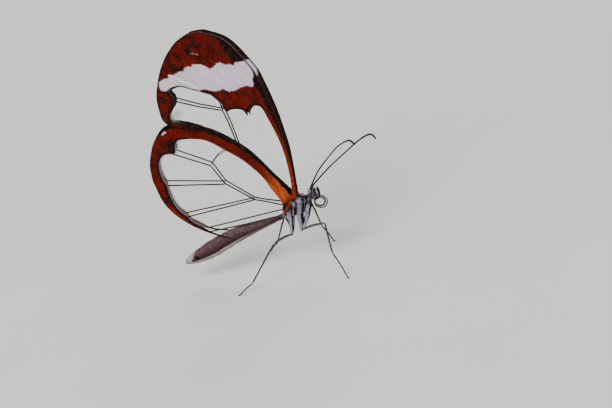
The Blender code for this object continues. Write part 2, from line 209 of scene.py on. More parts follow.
ANTENNA_RIGHT = [
    (1.98, -0.28, 11.3), (2.11, -0.3, 11.84), (4.9, -0.93, 14.41), (7.73, -1.54, 16.58),
    (9.71, -1.97, 18.05), (11.05, -2.25, 18.83), (11.91, -2.41, 18.95), (12.43, -2.6, 18.21),
]
ANTENNA_LEFT = [
    (1.85, 0.26, 11.3), (1.95, 0.36, 11.75), (3.08, 1.73, 13.13), (4.59, 3.09, 14.28),
    (6.04, 4.29, 15.16), (7.07, 5.02, 15.4), (7.71, 5.43, 15.29), (8.25, 6.0, 14.3),
]
FORELEG_PATH = [
    (1.2, 0.72, 9.5), (1.15, 0.86, 9.2), (0.7, 0.95, 8.0), (0.15, 0.98, 6.7), (-0.05, 0.98, 6.35),
]
FORELEG_RADII = [0.24, 0.37, 0.32, 0.19, 0.08]

# Walking legs: hip top, hip end, knee, ankle, foot
LEGS = {
    "midleg_right": [
        (-0.4, -0.5, 8.4), (-0.57, -0.7, 5.85), (3.2, -3.2, 7.5), (3.55, -4.6, 3.5), (5.3, -6.1, 0.07),
    ],
    "hindleg_right": [
        (-1.6, -0.5, 8.2), (-2.02, -0.65, 5.4), (-4.3, -3.2, 5.6), (-8.1, -5.6, 1.2), (-10.2, -6.4, 0.07),
    ],
    "midleg_left": [
        (-0.4, 0.5, 8.4), (-0.57, 0.7, 5.85), (0.85, 3.6, 7.6), (1.3, 5.1, 3.2), (2.45, 6.35, 0.07),
    ],
    "hindleg_left": [
        (-1.6, 0.5, 8.2), (-2.02, 0.65, 5.4), (-3.2, 3.1, 6.6), (-5.5, 5.15, 1.6), (-7.0, 6.3, 0.07),
    ],
}
SKIN_FLOOR = 0.005
BLADE_FLOOR = 0.01
COXA_RADII = [0.3, 0.44, 0.42, 0.34, 0.25, 0.12]
FEMUR_RADII = [0.08, 0.14, 0.18, 0.17, 0.14, 0.12]
TIBIA_RADII = [0.115, 0.12, 0.11, 0.1, 0.1]
TARSUS_RADIUS = 0.1
TARSUS_JOINTS = 5
FEELER_JOINTS = 44
FINE_RINGS = 260


def to_world(points):
    """Millimetre places on the body, as metres in the scene."""
    return (np.asarray(points, float) + BODY_SHIFT) * MM


def even_line(points, count):
    """Places spaced evenly by length along a line of points."""
    steps = np.linalg.norm(np.diff(points, axis=0), axis=1)
    length = np.concatenate(([0.0], np.cumsum(steps)))
    target = np.linspace(0.0, length[-1], count)
    return np.stack([np.interp(target, length, points[:, k]) for k in range(points.shape[1])], axis=1)


def smooth_curve(anchors, count, closed=False):
    """Places spaced evenly on the Catmull-Rom curve through the anchors."""
    anchors = np.asarray(anchors, float)
    if closed:
        ends = np.vstack((anchors[-1], anchors, anchors[0], anchors[1]))
        spans = len(anchors)
    else:
        ends = np.vstack((2 * anchors[0] - anchors[1], anchors, 2 * anchors[-1] - anchors[-2]))
        spans = len(anchors) - 1
    place = np.linspace(0, spans, 40 * spans + 1)
    index = np.minimum(place.astype(int), spans - 1)
    u = (place - index)[:, None]
    p0, p1, p2, p3 = (ends[index + k] for k in range(4))
    fine = 0.5 * (
        2 * p1 + (p2 - p0) * u + (2 * p0 - 5 * p1 + 4 * p2 - p3) * u**2 + (3 * p1 - p0 - 3 * p2 + p3) * u**3
    )
    return even_line(fine, count)


def line_distance(spots, line):
    """The distance from each spot to a line of places."""
    line = np.asarray(line, float)
    best = np.full(len(spots), 1e9)
    for start, end in zip(line, line[1:]):
        along = end - start
        share = np.clip(((spots - start) @ along) / max(along @ along, 1e-12), 0, 1)
        best = np.minimum(best, np.linalg.norm(spots - start - share[:, None] * along, axis=1))
    return best


def depth_in(spots, loop):
    """How far inside a closed loop each spot lies, negative outside it."""
    crossings = np.zeros(len(spots), int)
    following = np.roll(loop, -1, axis=0)
    for (x0, z0), (x1, z1) in zip(loop, following):
        between = (z0 > spots[:, 1]) != (z1 > spots[:, 1])
        rise = z1 - z0 if z1 != z0 else 1e-12
        crossings += between & (spots[:, 0] < x0 + (spots[:, 1] - z0) * (x1 - x0) / rise)
    distance = line_distance(spots, np.vstack((loop, loop[:1])))
    return np.where(crossings % 2 == 1, distance, -distance)


def blend_step(values, low, high):
    """A smooth rise from 0 at low to 1 at high."""
    share = np.clip((values - low) / (high - low), 0, 1)
    return share * share * (3 - 2 * share)


def soft_band(values, low, high, soft):
    """1 between low and high, fading to 0 outside."""
    return blend_step(values, low - soft, low + soft) * (1 - blend_step(values, high - soft, high + soft))


# Making meshes

def clear_selection():
    """Leave edit mode and select nothing."""
    if bpy.context.object and bpy.context.object.mode != "OBJECT":
        bpy.ops.object.mode_set(mode="OBJECT")
    bpy.ops.object.select_all(action="DESELECT")


def choose(piece):
    """Select one piece alone and make it active."""
    clear_selection()
    piece.select_set(True)
    bpy.context.view_layer.objects.active = piece


def edit_all(piece):
    """Open a piece in edit mode with all of it selected."""
    choose(piece)
    bpy.ops.object.mode_set(mode="EDIT")
    bpy.ops.mesh.select_all(action="SELECT")


def grid_piece(name, places):
    """A grid primitive with its rows and columns laid at the given places."""
    rows, columns = places.shape[:2]
    clear_selection()
    bpy.ops.mesh.primitive_grid_add(x_subdivisions=columns - 1, y_subdivisions=rows - 1, size=MM)
    piece = bpy.context.object
    piece.name = name
    piece.data.name = name
    piece.data.vertices.foreach_set("co", to_world(places.reshape(-1, 3)).ravel())
    piece.data.update()
    return piece


def tube_frames(path):
    """Two directions square to a path at each of its points, without twist."""
    ahead = np.vstack((path[1:], path[-1:]))
    behind = np.vstack((path[:1], path[:-1]))
    directions = ahead - behind
    directions /= np.linalg.norm(directions, axis=1)[:, None]
    side = np.cross(directions[0], (0.31, 0.92, 0.22))
    sides = []
    for direction in directions:
        side = side - direction * (side @ direction)
        side = side / np.linalg.norm(side)
        sides.append(side)
    sides = np.array(sides)
    return directions, sides, np.cross(directions, sides)


def tube_places(path, radii, sides, flat=1.0):
    """Rings of places round a path; flat narrows the second direction."""
    path = np.asarray(path, float)
    _, first, second = tube_frames(path)
    angles = np.linspace(0, 2 * math.pi, sides + 1)
    radii = np.asarray(radii, float)[:, None, None]
    around = np.cos(angles)[None, :, None] * first[:, None, :]
    around = around + flat * np.sin(angles)[None, :, None] * second[:, None, :]
    return path[:, None, :] + radii * around


def rolled_piece(name, places):
    """A grid rolled into a closed tube: its seam merged and both ends filled."""
    piece = grid_piece(name, places)
    edit_all(piece)
    bpy.ops.mesh.remove_doubles(threshold=1e-7)
    bpy.ops.mesh.fill_holes(sides=0)
    bpy.ops.mesh.select_all(action="SELECT")
    bpy.ops.mesh.normals_make_consistent(inside=False)
    bpy.ops.object.mode_set(mode="OBJECT")
    bpy.ops.object.shade_smooth()
    return piece


def limb_piece(name, anchors, radii, rings, sides, flat=1.0):
    """A smooth tapering tube through the anchors, with rounded ends."""
    path = smooth_curve(anchors, rings)
    share = np.linspace(0, 1, rings)
    size = np.interp(share, np.linspace(0, 1, len(radii)), radii)
    return rolled_piece(name, tube_places(path, size, sides, flat))


def section_piece(name, sections, rings, sides=32, waist=None):
    """A body of elliptical sections; waist gives a factor for each ring."""
    line = smooth_curve(sections, rings)
    factor = np.ones(rings) if waist is None else waist(line[:, 0])
    angles = np.linspace(0, 2 * math.pi, sides + 1)
    places = np.zeros((rings, sides + 1, 3))
    places[:, :, 0] = line[:, 0][:, None]
    places[:, :, 1] = (line[:, 3] * factor)[:, None] * np.sin(angles)
    places[:, :, 2] = line[:, 1][:, None] + (line[:, 2] * factor)[:, None] * np.cos(angles)
    return rolled_piece(name, places)


def ball_piece(name, centre, half, segments=32, rings=20):
    """A sphere primitive pressed to three half sizes."""
    clear_selection()
    bpy.ops.mesh.primitive_uv_sphere_add(segments=segments, ring_count=rings, radius=MM)
    piece = bpy.context.object
    piece.name = name
    piece.data.name = name
    piece.data.transform(Matrix.Diagonal((*half, 1.0)))
    piece.data.transform(Matrix.Translation(to_world(centre)))
    bpy.ops.object.shade_smooth()
    return piece


def join_pieces(name, pieces):
    """Join pieces into one mesh under one name."""
    clear_selection()
    for piece in pieces:
        piece.select_set(True)
    bpy.context.view_layer.objects.active = pieces[0]
    if len(pieces) > 1:
        bpy.ops.object.join()
    pieces[0].name = name
    pieces[0].data.name = name
    return pieces[0]


def apply_modifier(piece, kind, **settings):
    """Add a modifier with its settings and apply it."""
    choose(piece)
    modifier = piece.modifiers.new(kind.title(), kind)
    for key, value in settings.items():
        setattr(modifier, key, value)
    bpy.ops.object.modifier_apply(modifier=modifier.name)


def set_values(mesh, name, values):
    """Store one number at each vertex."""
    layer = mesh.attributes.new(name, "FLOAT", "POINT")
    layer.data.foreach_set("value", np.asarray(values, np.float32))


def body_places(mesh):
    """The vertices of a mesh in millimetres on the body."""
    flat = np.empty(len(mesh.vertices) * 3)
    mesh.vertices.foreach_get("co", flat)
    return flat.reshape(-1, 3) / MM - BODY_SHIFT


def place_piece(piece, materials, nodes=()):
    """Give a piece its materials, parent it to the body's root, and hide the parts it stands for."""
    piece.data.materials.clear()
    for material in materials:
        piece.data.materials.append(material)
    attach(piece, "root")
    if nodes:
        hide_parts(*nodes)


# Materials

class Value:
    """A number or a colour that runs through a material's nodes."""

    def __init__(self, nodes, socket):
        self.nodes = nodes
        self.socket = socket

    def _math(self, operation, first, second):
        return self.nodes.add("ShaderNodeMath", {"operation": operation}, {0: first, 1: second})

    def __add__(self, other):
        return self._math("ADD", self, other)

    __radd__ = __add__

    def __sub__(self, other):
        return self._math("SUBTRACT", self, other)

    def __rsub__(self, other):
        return self._math("SUBTRACT", other, self)

    def __mul__(self, other):
        return self._math("MULTIPLY", self, other)

    __rmul__ = __mul__


class Finish:
    """A material under construction: a Principled surface and the nodes that feed it."""

    def __init__(self, name, **constants):
        self.material = bpy.data.materials.new(name)
        self.material.use_nodes = True
        self.tree = self.material.node_tree
        self.tree.nodes.clear()
        self.surface = self.tree.nodes.new("ShaderNodeBsdfPrincipled")
        output = self.tree.nodes.new("ShaderNodeOutputMaterial")
        self.tree.links.new(self.surface.outputs[0], output.inputs["Surface"])
        self.set(**constants)

    def add(self, kind, settings=None, inputs=None, output=0):
        """One node: its settings, then the values or links of its sockets."""
        node = self.tree.nodes.new(kind)
        for key, value in (settings or {}).items():
            setattr(node, key, value)
        for key, value in (inputs or {}).items():
            self.feed(node.inputs[key], value)
        return Value(self, node.outputs[output])

    def feed(self, socket, value):
        """Link a value to a socket, or set the socket to a constant."""
        if isinstance(value, Value):
            self.tree.links.new(value.socket, socket)
        elif isinstance(value, tuple) and socket.type == "RGBA":
            socket.default_value = (*value[:3], 1.0)
        else:
            socket.default_value = value

    def set(self, **values):
        """Feed the surface's sockets, named in lower case with underscores."""
        names = {socket.name.lower().replace(" ", "_"): socket for socket in self.surface.inputs}
        for key, value in values.items():
            self.feed(names[key], value)

    def attribute(self, name):
        """A number stored at the vertices."""
        return self.add("ShaderNodeAttribute", {"attribute_name": name}, output=2)

    def place(self):
        """The place on the object."""
        return self.add("ShaderNodeTexCoord", output=3)

    def joined(self, x, y, z=0.0):
        """A vector from three numbers."""
        return self.add("ShaderNodeCombineXYZ", None, {0: x, 1: y, 2: z})

    def noise(self, vector, scale, detail=2.0, roughness=0.5):
        """Soft noise between 0 and 1."""
        inputs = {"Vector": vector, "Scale": scale, "Detail": detail, "Roughness": roughness}
        return self.add("ShaderNodeTexNoise", None, inputs)

    def cells(self, vector, scale):
        """The distance to the nearest of many scattered points."""
        return self.add("ShaderNodeTexVoronoi", {"feature": "F1"}, {"Vector": vector, "Scale": scale})

    def step(self, value, low, high):
        """A smooth rise from 0 to 1 as the value goes from low to high."""
        inputs = {0: value, 1: low, 2: high}
        return self.add("ShaderNodeMapRange", {"interpolation_type": "SMOOTHSTEP"}, inputs)

    def band(self, value, low, high, soft):
        """1 between low and high, fading to 0 outside."""
        return self.step(value, low - soft, low + soft) * self.step(value, high + soft, high - soft)

    def most(self, first, second):
        """The larger of two values."""
        return self.add("ShaderNodeMath", {"operation": "MAXIMUM"}, {0: first, 1: second})

    def mix(self, share, first, second):
        """A colour between two colours."""
        settings = {"data_type": "RGBA"}
        return self.add("ShaderNodeMix", settings, {0: share, 6: first, 7: second}, output=2)

    def bump(self, height, distance, strength=1.0):
        """A normal that follows a fine height."""
        inputs = {"Height": height, "Distance": distance, "Strength": strength}
        return self.add("ShaderNodeBump", None, inputs)


# Settings that a user may change

def colour_setting(name, description, default):
    """A colour that the panel shows."""
    return bpy.props.FloatVectorProperty(
        name=name, description=description, default=default, size=3, min=0.0, max=1.0, subtype="COLOR",
    )


def length_setting(name, description, default_mm):
    """A length that the panel shows, given in millimetres."""
    return bpy.props.FloatProperty(
        name=name, description=description, default=default_mm * MM, min=0.0, precision=6,
        subtype="DISTANCE", unit="LENGTH",
    )


class ButterflySizes(bpy.types.PropertyGroup):
    """Fine sizes of the finish."""

    membrane: length_setting("Membrane", "Thickness of the wing skin", 0.035)
    vein: length_setting("Vein", "Radius of a wing vein", 0.1)
    scale_length: length_setting("Scale length", "Length of one wing scale", 0.27)
    scale_width: length_setting("Scale width", "Width of one wing scale", 0.12)
    scale_gap: length_setting("Scale gap", "Spacing of the wing scales", 0.1)
    voxel: length_setting("Skin detail", "Size of the cells that weld the body's skin", 0.05)
    hair_length: length_setting("Hair length", "Length of the thorax hair", 0.42)


class ButterflyColours(bpy.types.PropertyGroup):
    """Colours of the finish, as linear values."""

    red_brown: colour_setting("Red brown", "Underside of the wing borders", (0.16, 0.0035, 0.0003))
    orange: colour_setting("Orange", "Wing borders near the body", (0.5, 0.06, 0.003))
    black: colour_setting("Black", "Wing edges, veins and feelers", (0.003, 0.002, 0.0025))
    white: colour_setting("White", "Band and spots of the forewing", (0.68, 0.59, 0.67))
    glass: colour_setting("Glass", "Clear parts of the wings", (0.42, 0.44, 0.36))
    lilac: colour_setting("Lilac", "Pale hair and scales of the body", (0.38, 0.33, 0.43))
    brown: colour_setting("Brown", "Dark hair of the thorax", (0.009, 0.005, 0.006))
    mauve: colour_setting("Mauve", "Scales of the abdomen", (0.175, 0.082, 0.1))
    cream: colour_setting("Cream", "Stripe under the abdomen", (0.85, 0.72, 0.6))
    leg: colour_setting("Leg", "Shins and feet", (0.13, 0.055, 0.058))


def sizes():
    """The fine sizes, as set in the scene."""
    return bpy.context.scene.butterfly_sizes


def colours():
    """The colours, as set in the scene."""
    return bpy.context.scene.butterfly_colours


def colour(name):
    """One of the set colours as a tuple."""
    return tuple(getattr(colours(), name))


def shade_of(base, factor):
    """A colour made darker or lighter by a factor."""
    return tuple(channel * factor for channel in base)


# Wings

def swing_forward(spots, hinge, angle):
    """Turn places in the side plane forward about a hinge."""
    offset = spots - np.array(hinge)
    x = hinge[0] + offset[:, 0] * math.cos(angle) + offset[:, 1] * math.sin(angle)
    z = hinge[1] - offset[:, 0] * math.sin(angle) + offset[:, 1] * math.cos(angle)
    return np.stack((x, z), axis=1)


class Wing:
    """One of the four wings: its outline, its curved layer and the marks on it."""

    def __init__(self, pair, side):
        shape = WING_SHAPES[pair]
        self.pair = pair
        self.side = -1 if side == "right" else 1
        self.name = f"{pair}_{side}"
        self.front = smooth_curve(shape["front"], 200)
        self.rear = smooth_curve(shape["rear"], 200)
        self.window = smooth_curve(shape["window"], 300, closed=True)
        self.veins = shape["veins"]
        self.hinge = shape["hinge"]
        self.outline = np.vstack((self.front, self.rear[::-1]))
        self.swing = shape["swing"] if side == "left" else 0.0
        self.bulge = LEFT_FRONT_BULGE if (pair, side) == ("forewing", "left") else 0.0

    def layer(self, spots):
        """How far from the middle plane the wing lies."""
        from_hinge = np.linalg.norm(spots - np.array(self.hinge), axis=1)
        if self.pair == "forewing":
            spread = FOREWING_ROOT_SPREAD * np.exp(-((from_hinge / FOREWING_ROOT_FADE) ** 2))
            return FOREWING_LAYER + spread
        sections = np.array(ABDOMEN_SECTIONS)[::-1]
        height = np.maximum(spots[:, 1] - np.interp(spots[:, 0], sections[:, 0], sections[:, 1]), 0)
        spread = HINDWING_SPREAD * np.exp(-((height / HINDWING_FADE) ** 2))
        under = np.linalg.norm(spots - np.array(FOREWING_HINGE), axis=1)
        spread = np.maximum(spread, FOREWING_ROOT_SPREAD * np.exp(-((under / FOREWING_ROOT_FADE) ** 2)))
        sunk = line_distance(spots, [(-0.95, 10.7), (-2.45, 8.8)])
        return HINDWING_LAYER + spread - 0.45 * np.exp(-((sunk / 0.4) ** 2))

    def lay(self, spots, lift=0.0):
        """Places in space of spots on the wing; lift raises them off the outer face."""
        y = self.side * (self.layer(spots) + lift)
        moved = spots.copy()
        if self.bulge:
            share = np.clip((spots[:, 1] - 11) / 25, 0, 1)
            near_front = np.exp(-line_distance(spots, self.front[::8]) / 2.5)
            moved[:, 0] += self.bulge * np.sin(math.pi * share) * near_front
        moved = swing_forward(moved, self.hinge, self.swing)
        return np.stack((moved[:, 0], y, moved[:, 1]), axis=1)

    def flow(self, spots):
        """The direction of veins and scales at each spot, and the place across and along it."""
        root = np.array(self.hinge) + ((-0.5, -0.5) if self.pair == "forewing" else (0.6, -0.6))
        lower = spots - root
        lower_length = np.linalg.norm(lower, axis=1)
        across = np.arctan2(lower[:, 0], lower[:, 1]) * 12.0
        direction = lower / lower_length[:, None]
        along = lower_length
        if self.pair == "forewing":
            upper = spots - np.array((-3.2, 22.6))
            upper_length = np.linalg.norm(upper, axis=1) + 1e-6
            share = blend_step(spots[:, 1] - 0.35 * spots[:, 0], 26.0, 31.0)
            across = across * (1 - share) + np.arctan2(upper[:, 0], upper[:, 1]) * 8.0 * share
            direction = direction * (1 - share)[:, None] + upper / upper_length[:, None] * share[:, None]
            direction /= np.linalg.norm(direction, axis=1)[:, None]
            along = along * (1 - share) + (upper_length + 13) * share
        return direction, across, along

    def marks(self, spots):
        """What the finish needs to know at each spot, in millimetres where it is a distance."""
        _, across, along = self.flow(spots)
        values = {
            "edge": line_distance(spots, np.vstack((self.outline[::3], self.outline[:1]))),
            "window": depth_in(spots, self.window),
            "front": line_distance(spots, self.front[::3]),
            "root": np.linalg.norm(spots - np.array(self.hinge), axis=1),
            "across": across,
            "along": along,
        }
        values["edge"] += 2.0 * blend_step(-values["root"], -2.4, -1.2)
        if self.pair == "forewing":
            values["white"] = depth_in(spots, smooth_curve(FOREWING_WHITE, 220, closed=True))
            values["streak"] = np.minimum(
                line_distance(spots, APEX_STREAK) + 0.13, line_distance(spots, WHITE_STREAK),
            )
            values["dusk"] = line_distance(spots, [(-4.4, 33.6), (-3.1, 31.7), (-2.6, 31.3)])
            from_smudge = np.linalg.norm(spots - np.array((-14.15, 25.15)), axis=1)
            values["haze_and_sheen"] = np.exp(-(from_smudge / 0.5) ** 2)
            values["clear"] = soft_band(-spots[:, 0], 10.2, 13.0, 0.9)
            margin = blend_step(values["front"], 1.3, 1.9) * blend_step(-spots[:, 1], -24.0, -23.2)
            values["margin"] = margin * blend_step(spots[:, 0], -14.3, -13.6)
        else:
            values["white"] = 0.2 - line_distance(spots, HINDWING_SPOT)
            values["streak"] = np.min([line_distance(spots, bar) for bar in HINDWING_BARS], axis=0)
            values["dusk"] = line_distance(spots, [(-15.55, 21.5), (-15.45, 20.5)])
            # On the hind wing, a lilac-grey band inside the window's outer edge: the far wing's border seen
            # through, its colour a painted sheen
            outer = blend_step(-spots[:, 0], 13.0, 15.0)
            values["haze_and_sheen"] = outer * blend_step(-values["window"], -0.45, 0.0)
            values["clear"] = blend_step(-spots[:, 0], 11.5, 13.0) * blend_step(-spots[:, 1], -12.5, -10.5)
            margin = blend_step(values["window"], -0.14, -0.02) * blend_step(spots[:, 0], -12.5, -9.5)
            values["margin"] = margin * blend_step(-values["front"], -2.8, -2.2)
        return values


def wing_map(piece, pair, inner_faces):
    """The bake map of a wing sheet: its own side plane, outer face on the left, inner on the right."""
    mesh = piece.data
    places = body_places(mesh)
    low, span, narrowed, shrunk, pressed = WING_MAPS[pair]
    corner = np.empty(len(mesh.loops), int)
    mesh.loops.foreach_get("vertex_index", corner)
    spots = (places[corner][:, [0, 2]] - np.array(low)) / span
    spots[:, 0] *= narrowed
    spots *= shrunk
    spots += 0.005
    spots[:, 0] = np.clip(spots[:, 0] * pressed, 0.002, 0.495)
    spots[:, 0] += 0.5 * inner_faces[corner_faces(mesh)]
    layer = mesh.uv_layers.new(name="OFBake")
    layer.data.foreach_set("uv", spots.ravel())


def corner_faces(mesh):
    """The face that each corner of a mesh belongs to."""
    totals = np.empty(len(mesh.polygons), int)
    mesh.polygons.foreach_get("loop_total", totals)
    return np.repeat(np.arange(len(totals)), totals)


def wing_sheet(wing, rows, columns, materials):
    """The wing's thin skin as a closed sheet, its marks stored at the vertices."""
    front = even_line(wing.front, rows)
    rear = even_line(wing.rear, rows)
    share = np.linspace(0, 1, columns)[None, :, None]
    spots = (front[:, None, :] * (1 - share) + rear[:, None, :] * share).reshape(-1, 2)
    places = wing.lay(spots).reshape(rows, columns, 3)
    piece = grid_piece(f"sheet_{wing.name}", places)
    for name, values in wing.marks(spots).items():
        set_values(piece.data, name, values)
    for material in materials:
        piece.data.materials.append(material)
    middle = piece.data.polygons[len(piece.data.polygons) // 2]
    edit_all(piece)
    if middle.normal.y * wing.side < 0:
        bpy.ops.mesh.flip_normals()
    bpy.ops.mesh.remove_doubles(threshold=1e-7)
    bpy.ops.object.mode_set(mode="OBJECT")
    apply_modifier(
        piece, "SOLIDIFY", thickness=sizes().membrane, offset=-1.0, material_offset=1, use_rim=True,
    )
    indices = np.empty(len(piece.data.polygons), int)
    piece.data.polygons.foreach_get("material_index", indices)
    wing_map(piece, wing.pair, indices)
    choose(piece)
    bpy.ops.object.shade_smooth_by_angle(angle=math.radians(60))
    return piece


def wing_veins(wing):
    """Fine raised tubes along the wing's veins."""
    pieces = []
    radius = sizes().vein / MM
    for number, anchors in enumerate(wing.veins):
        spots = even_line(np.array(anchors, float), 60)
        path = wing.lay(spots, -0.5 * sizes().membrane / MM)
        fine = wing.pair == "hindwing" and number == FINE_VEIN
        size = np.full(60, radius * (FINE_VEIN_FACTOR if fine else 1.0))
        size[:2] *= (0.4, 0.8)
        size[-2:] *= (0.8, 0.4)
        pieces.append(rolled_piece(f"vein_{number}", tube_places(path, size, 8)))
    return join_pieces(f"veins_{wing.name}", pieces)


def blade_piece(name, roots, normals, lies, lengths, widths, lifts, patches, values, tip=0.45):
    """Many thin overlapping blades in one mesh, each with its own small patch of the bake map."""
    count = len(roots)
    across = np.cross(lies, normals)
    rows = ((0.0, 0.55, 0.0), (0.5, 1.0, 0.8), (1.0, tip, 1.0))
    places = np.zeros((count, 6, 3))
    uv = np.zeros((count, 6, 2))
    for row, (share, width, rise) in enumerate(rows):
        middle = roots + lies * (lengths * share)[:, None] + normals * (lifts * rise)[:, None]
        for column, sign in enumerate((-0.5, 0.5)):
            places[:, 2 * row + column] = middle + across * (sign * widths * width)[:, None]
            uv[:, 2 * row + column] = patches + BAKE_PATCH * np.array((sign * width, share))
    places[:, :, 2] = np.maximum(places[:, :, 2], BLADE_FLOOR)
    first = 6 * np.arange(count)[:, None]
    faces = np.concatenate((first + (0, 1, 3, 2), first + (2, 3, 5, 4)), axis=1).reshape(-1, 4)
    mesh = bpy.data.meshes.new(name)
    mesh.from_pydata(to_world(places.reshape(-1, 3)).tolist(), [], faces.tolist())
    for key, value in values.items():
        set_values(mesh, key, np.repeat(value, 6))
    set_values(mesh, "tip", np.tile((0.0, 0.0, 0.5, 0.5, 1.0, 1.0), count))
    layer = mesh.uv_layers.new(name="OFBake")
    layer.data.foreach_set("uv", uv.reshape(-1, 2)[faces.ravel()].ravel())
    mesh.shade_smooth()
    piece = bpy.data.objects.new(name, mesh)
    bpy.context.scene.collection.objects.link(piece)
    return piece


def unit(vectors):
    """Vectors brought to length one."""
    return vectors / np.maximum(np.linalg.norm(vectors, axis=1), 1e-9)[:, None]


def wing_scales(wing, inner, seed):
    """Rows of small scales over the coloured parts of one face of a wing."""
    rng = np.random.default_rng(seed)
    gap = sizes().scale_gap / MM
    low = wing.outline.min(axis=0)
    high = wing.outline.max(axis=0)
    grid = np.stack(np.meshgrid(np.arange(low[0], high[0], gap), np.arange(low[1], high[1], gap)), axis=-1)
    spots = grid.reshape(-1, 2) + rng.uniform(-0.5, 0.5, (grid.shape[0] * grid.shape[1], 2)) * gap
    spots = spots[depth_in(spots, wing.outline[::3]) > 0.07]
    values = wing.marks(spots)
    keep = values["window"] < -0.05
    spots = spots[keep]
    values = {key: value[keep] for key, value in values.items()}
    direction, _, _ = wing.flow(spots)
    direction = direction + rng.normal(0, 0.12, direction.shape)
    step = 0.02
    lift = -sizes().membrane / MM - SCALE_LIFT if inner else SCALE_LIFT
    roots = wing.lay(spots, lift)
    along = unit(wing.lay(spots + unit(direction) * step, lift) - roots)
    beside = unit(wing.lay(spots + unit(direction)[:, ::-1] * (step, -step), lift) - roots)
    normals = unit(np.cross(along, beside))
    facing = -wing.side if inner else wing.side
    normals *= np.sign(normals[:, 1] * facing)[:, None]
    count = len(spots)
    size = np.clip(0.45 + values["edge"] * 0.9, 0.45, 1.0) * rng.uniform(0.8, 1.2, count)
    values["shade"] = rng.random(count)
    span = (high - low).max()
    patches = 0.005 + 0.985 * (spots - low) / span
    return blade_piece(
        f"scales_{wing.name}_{'inner' if inner else 'outer'}", roots, normals, along,
        size * sizes().scale_length / MM, size * sizes().scale_width / MM,
        rng.uniform(0.01, 0.035, count), patches, values,
    )


# How much darker the dark red between the red brown streaks is
DARK_RED = 0.22
WING_MARKS = (
    "edge", "window", "front", "root", "across", "along", "white", "streak", "dusk", "haze_and_sheen", "clear",
    "margin",
)


def inner_ground(finish, marks, fore):
    """The upper side of a wing: near black, with a pale line on the forewing and, on the hind wing, a
    mauve-brown painted sheen towards the window.
    """
    base = finish.mix(finish.step(marks["grain"], 0.3, 0.7), colour("black"), (0.006, 0.0025, 0.0022))
    if fore:
        line = finish.band(marks["front"], 0.38, 0.46, 0.04) * 0.8
        return finish.mix(line, base, (0.06, 0.022, 0.018))
    # Painted sheen: the hind wing's dark upper side lighter mauve-brown within a millimetre of the window
    painted_sheen = finish.step(marks["window"], -1.0, -0.1) * 0.85
    return finish.mix(painted_sheen, base, finish.mix(marks["grain"], (0.028, 0.009, 0.009), (0.13, 0.06, 0.06)))


def outer_ground(finish, marks, fore):
    """The underside of a wing: streaky red brown, warmer towards the root."""
    grain, cloud, root = (marks[key] for key in ("grain", "cloud", "root"))
    streaky = finish.step(grain * 0.55 + cloud * 0.45, 0.36, 0.62)
    base = finish.mix(streaky, shade_of(colour("red_brown"), DARK_RED), colour("red_brown"))
    warmth = finish.step(root, 14.0, 2.5) if fore else finish.step(root, 8.5, 0.8)
    ember = (0.32, 0.024, 0.001) if fore else colour("orange")
    glow = finish.mix(finish.step(grain, 0.3, 0.62), shade_of(ember, 0.35), ember)
    if not fore:
        dusty = finish.step(cloud, 0.45, 0.6) * finish.step(root, 7.0, 1.0) * 0.5
        glow = finish.mix(dusty, glow, (0.55, 0.16, 0.06))
    return finish.mix(warmth, base, glow)


def forewing_rims(finish, marks, base):
    """Dark rims, corner and mottling of the forewing's underside, a fine pale line in them, and a painted
    highlight along the front edge.
    """
    window, edge, front, root = (marks[key] for key in ("window", "edge", "front", "root"))
    black = colour("black")
    strip = finish.step(front, 1.15, 0.95) * finish.step(root, 15.0, 13.5)
    rim = finish.step(window, -0.42, -0.12) * (1 - strip)
    rim = rim + finish.step(window, -0.14, -0.04) * strip
    corner = finish.step(marks["dusk"] + (marks["grain"] - 0.5) * 0.9, 1.0, 0.4)
    mottle = finish.step(marks["cloud"], 0.5, 0.64) * finish.step(root, 17.0, 19.0) * 0.9
    base = finish.mix(finish.most(finish.most(rim, corner), mottle), base, black)
    base = finish.mix(marks["margin"] * 0.93, base, (0.005, 0.0025, 0.003))
    thread = finish.band(window, -0.21, -0.15, 0.03) * finish.step(root, 15.0, 10.0) * marks["margin"]
    base = finish.mix(thread * 0.8, base, (0.14, 0.1, 0.13))
    shore = front - root * root * 0.0027 * finish.step(root, 26.0, 21.5)
    base = finish.mix(finish.step(shore, 0.17, 0.07), base, black)
    # Painted highlight: a thin light line along the very front edge, brown near the root and pale towards
    # the tip
    front_edge_highlight = finish.mix(finish.step(root, 16.0, 21.0), (0.06, 0.018, 0.013), (0.2, 0.12, 0.12))
    base = finish.mix(finish.step(front, 0.12, 0.03) * 0.8, base, front_edge_highlight)
    return finish.mix(finish.step(edge, 0.36, 0.14) * finish.step(front, 0.2, 0.4), base, black)


def hindwing_rims(finish, marks, base):
    """Dark rims, corner and bars of the hind wing's underside, and its warm and pale margins."""
    window, front, root, grain = (marks[key] for key in ("window", "front", "root", "grain"))
    lengthwise = finish.step(front, 1.6, 1.4) * finish.step(root, 17.0, 14.5)
    rim = finish.step(window, -0.36, -0.14) * (1 - lengthwise) * finish.step(root, 2.0, 3.5)
    corner = finish.step(marks["dusk"] + (grain - 0.5) * 0.3, 0.85, 0.25)
    bars = finish.step(marks["streak"], 0.14, 0.07)
    base = finish.mix(finish.most(finish.most(rim, corner), bars), base, (0.007, 0.0025, 0.005))
    low_half = finish.step(window, -0.95, -0.5) * lengthwise * finish.step(root, 2.5, 5.5) * 0.8
    red = finish.mix(grain, shade_of(colour("red_brown"), DARK_RED), colour("red_brown"))
    base = finish.mix(low_half, base, red)
    glow = finish.mix(finish.step(grain, 0.3, 0.62), (0.12, 0.006, 0.0006), (0.38, 0.034, 0.001))
    base = finish.mix(marks["clear"] * finish.step(window, -0.3, -0.5) * 0.85, base, glow)
    base = finish.mix(finish.step(marks["edge"], 0.24, 0.1), base, colour("black"))
    return finish.mix(marks["margin"] * 0.8, base, (0.24, 0.17, 0.2))


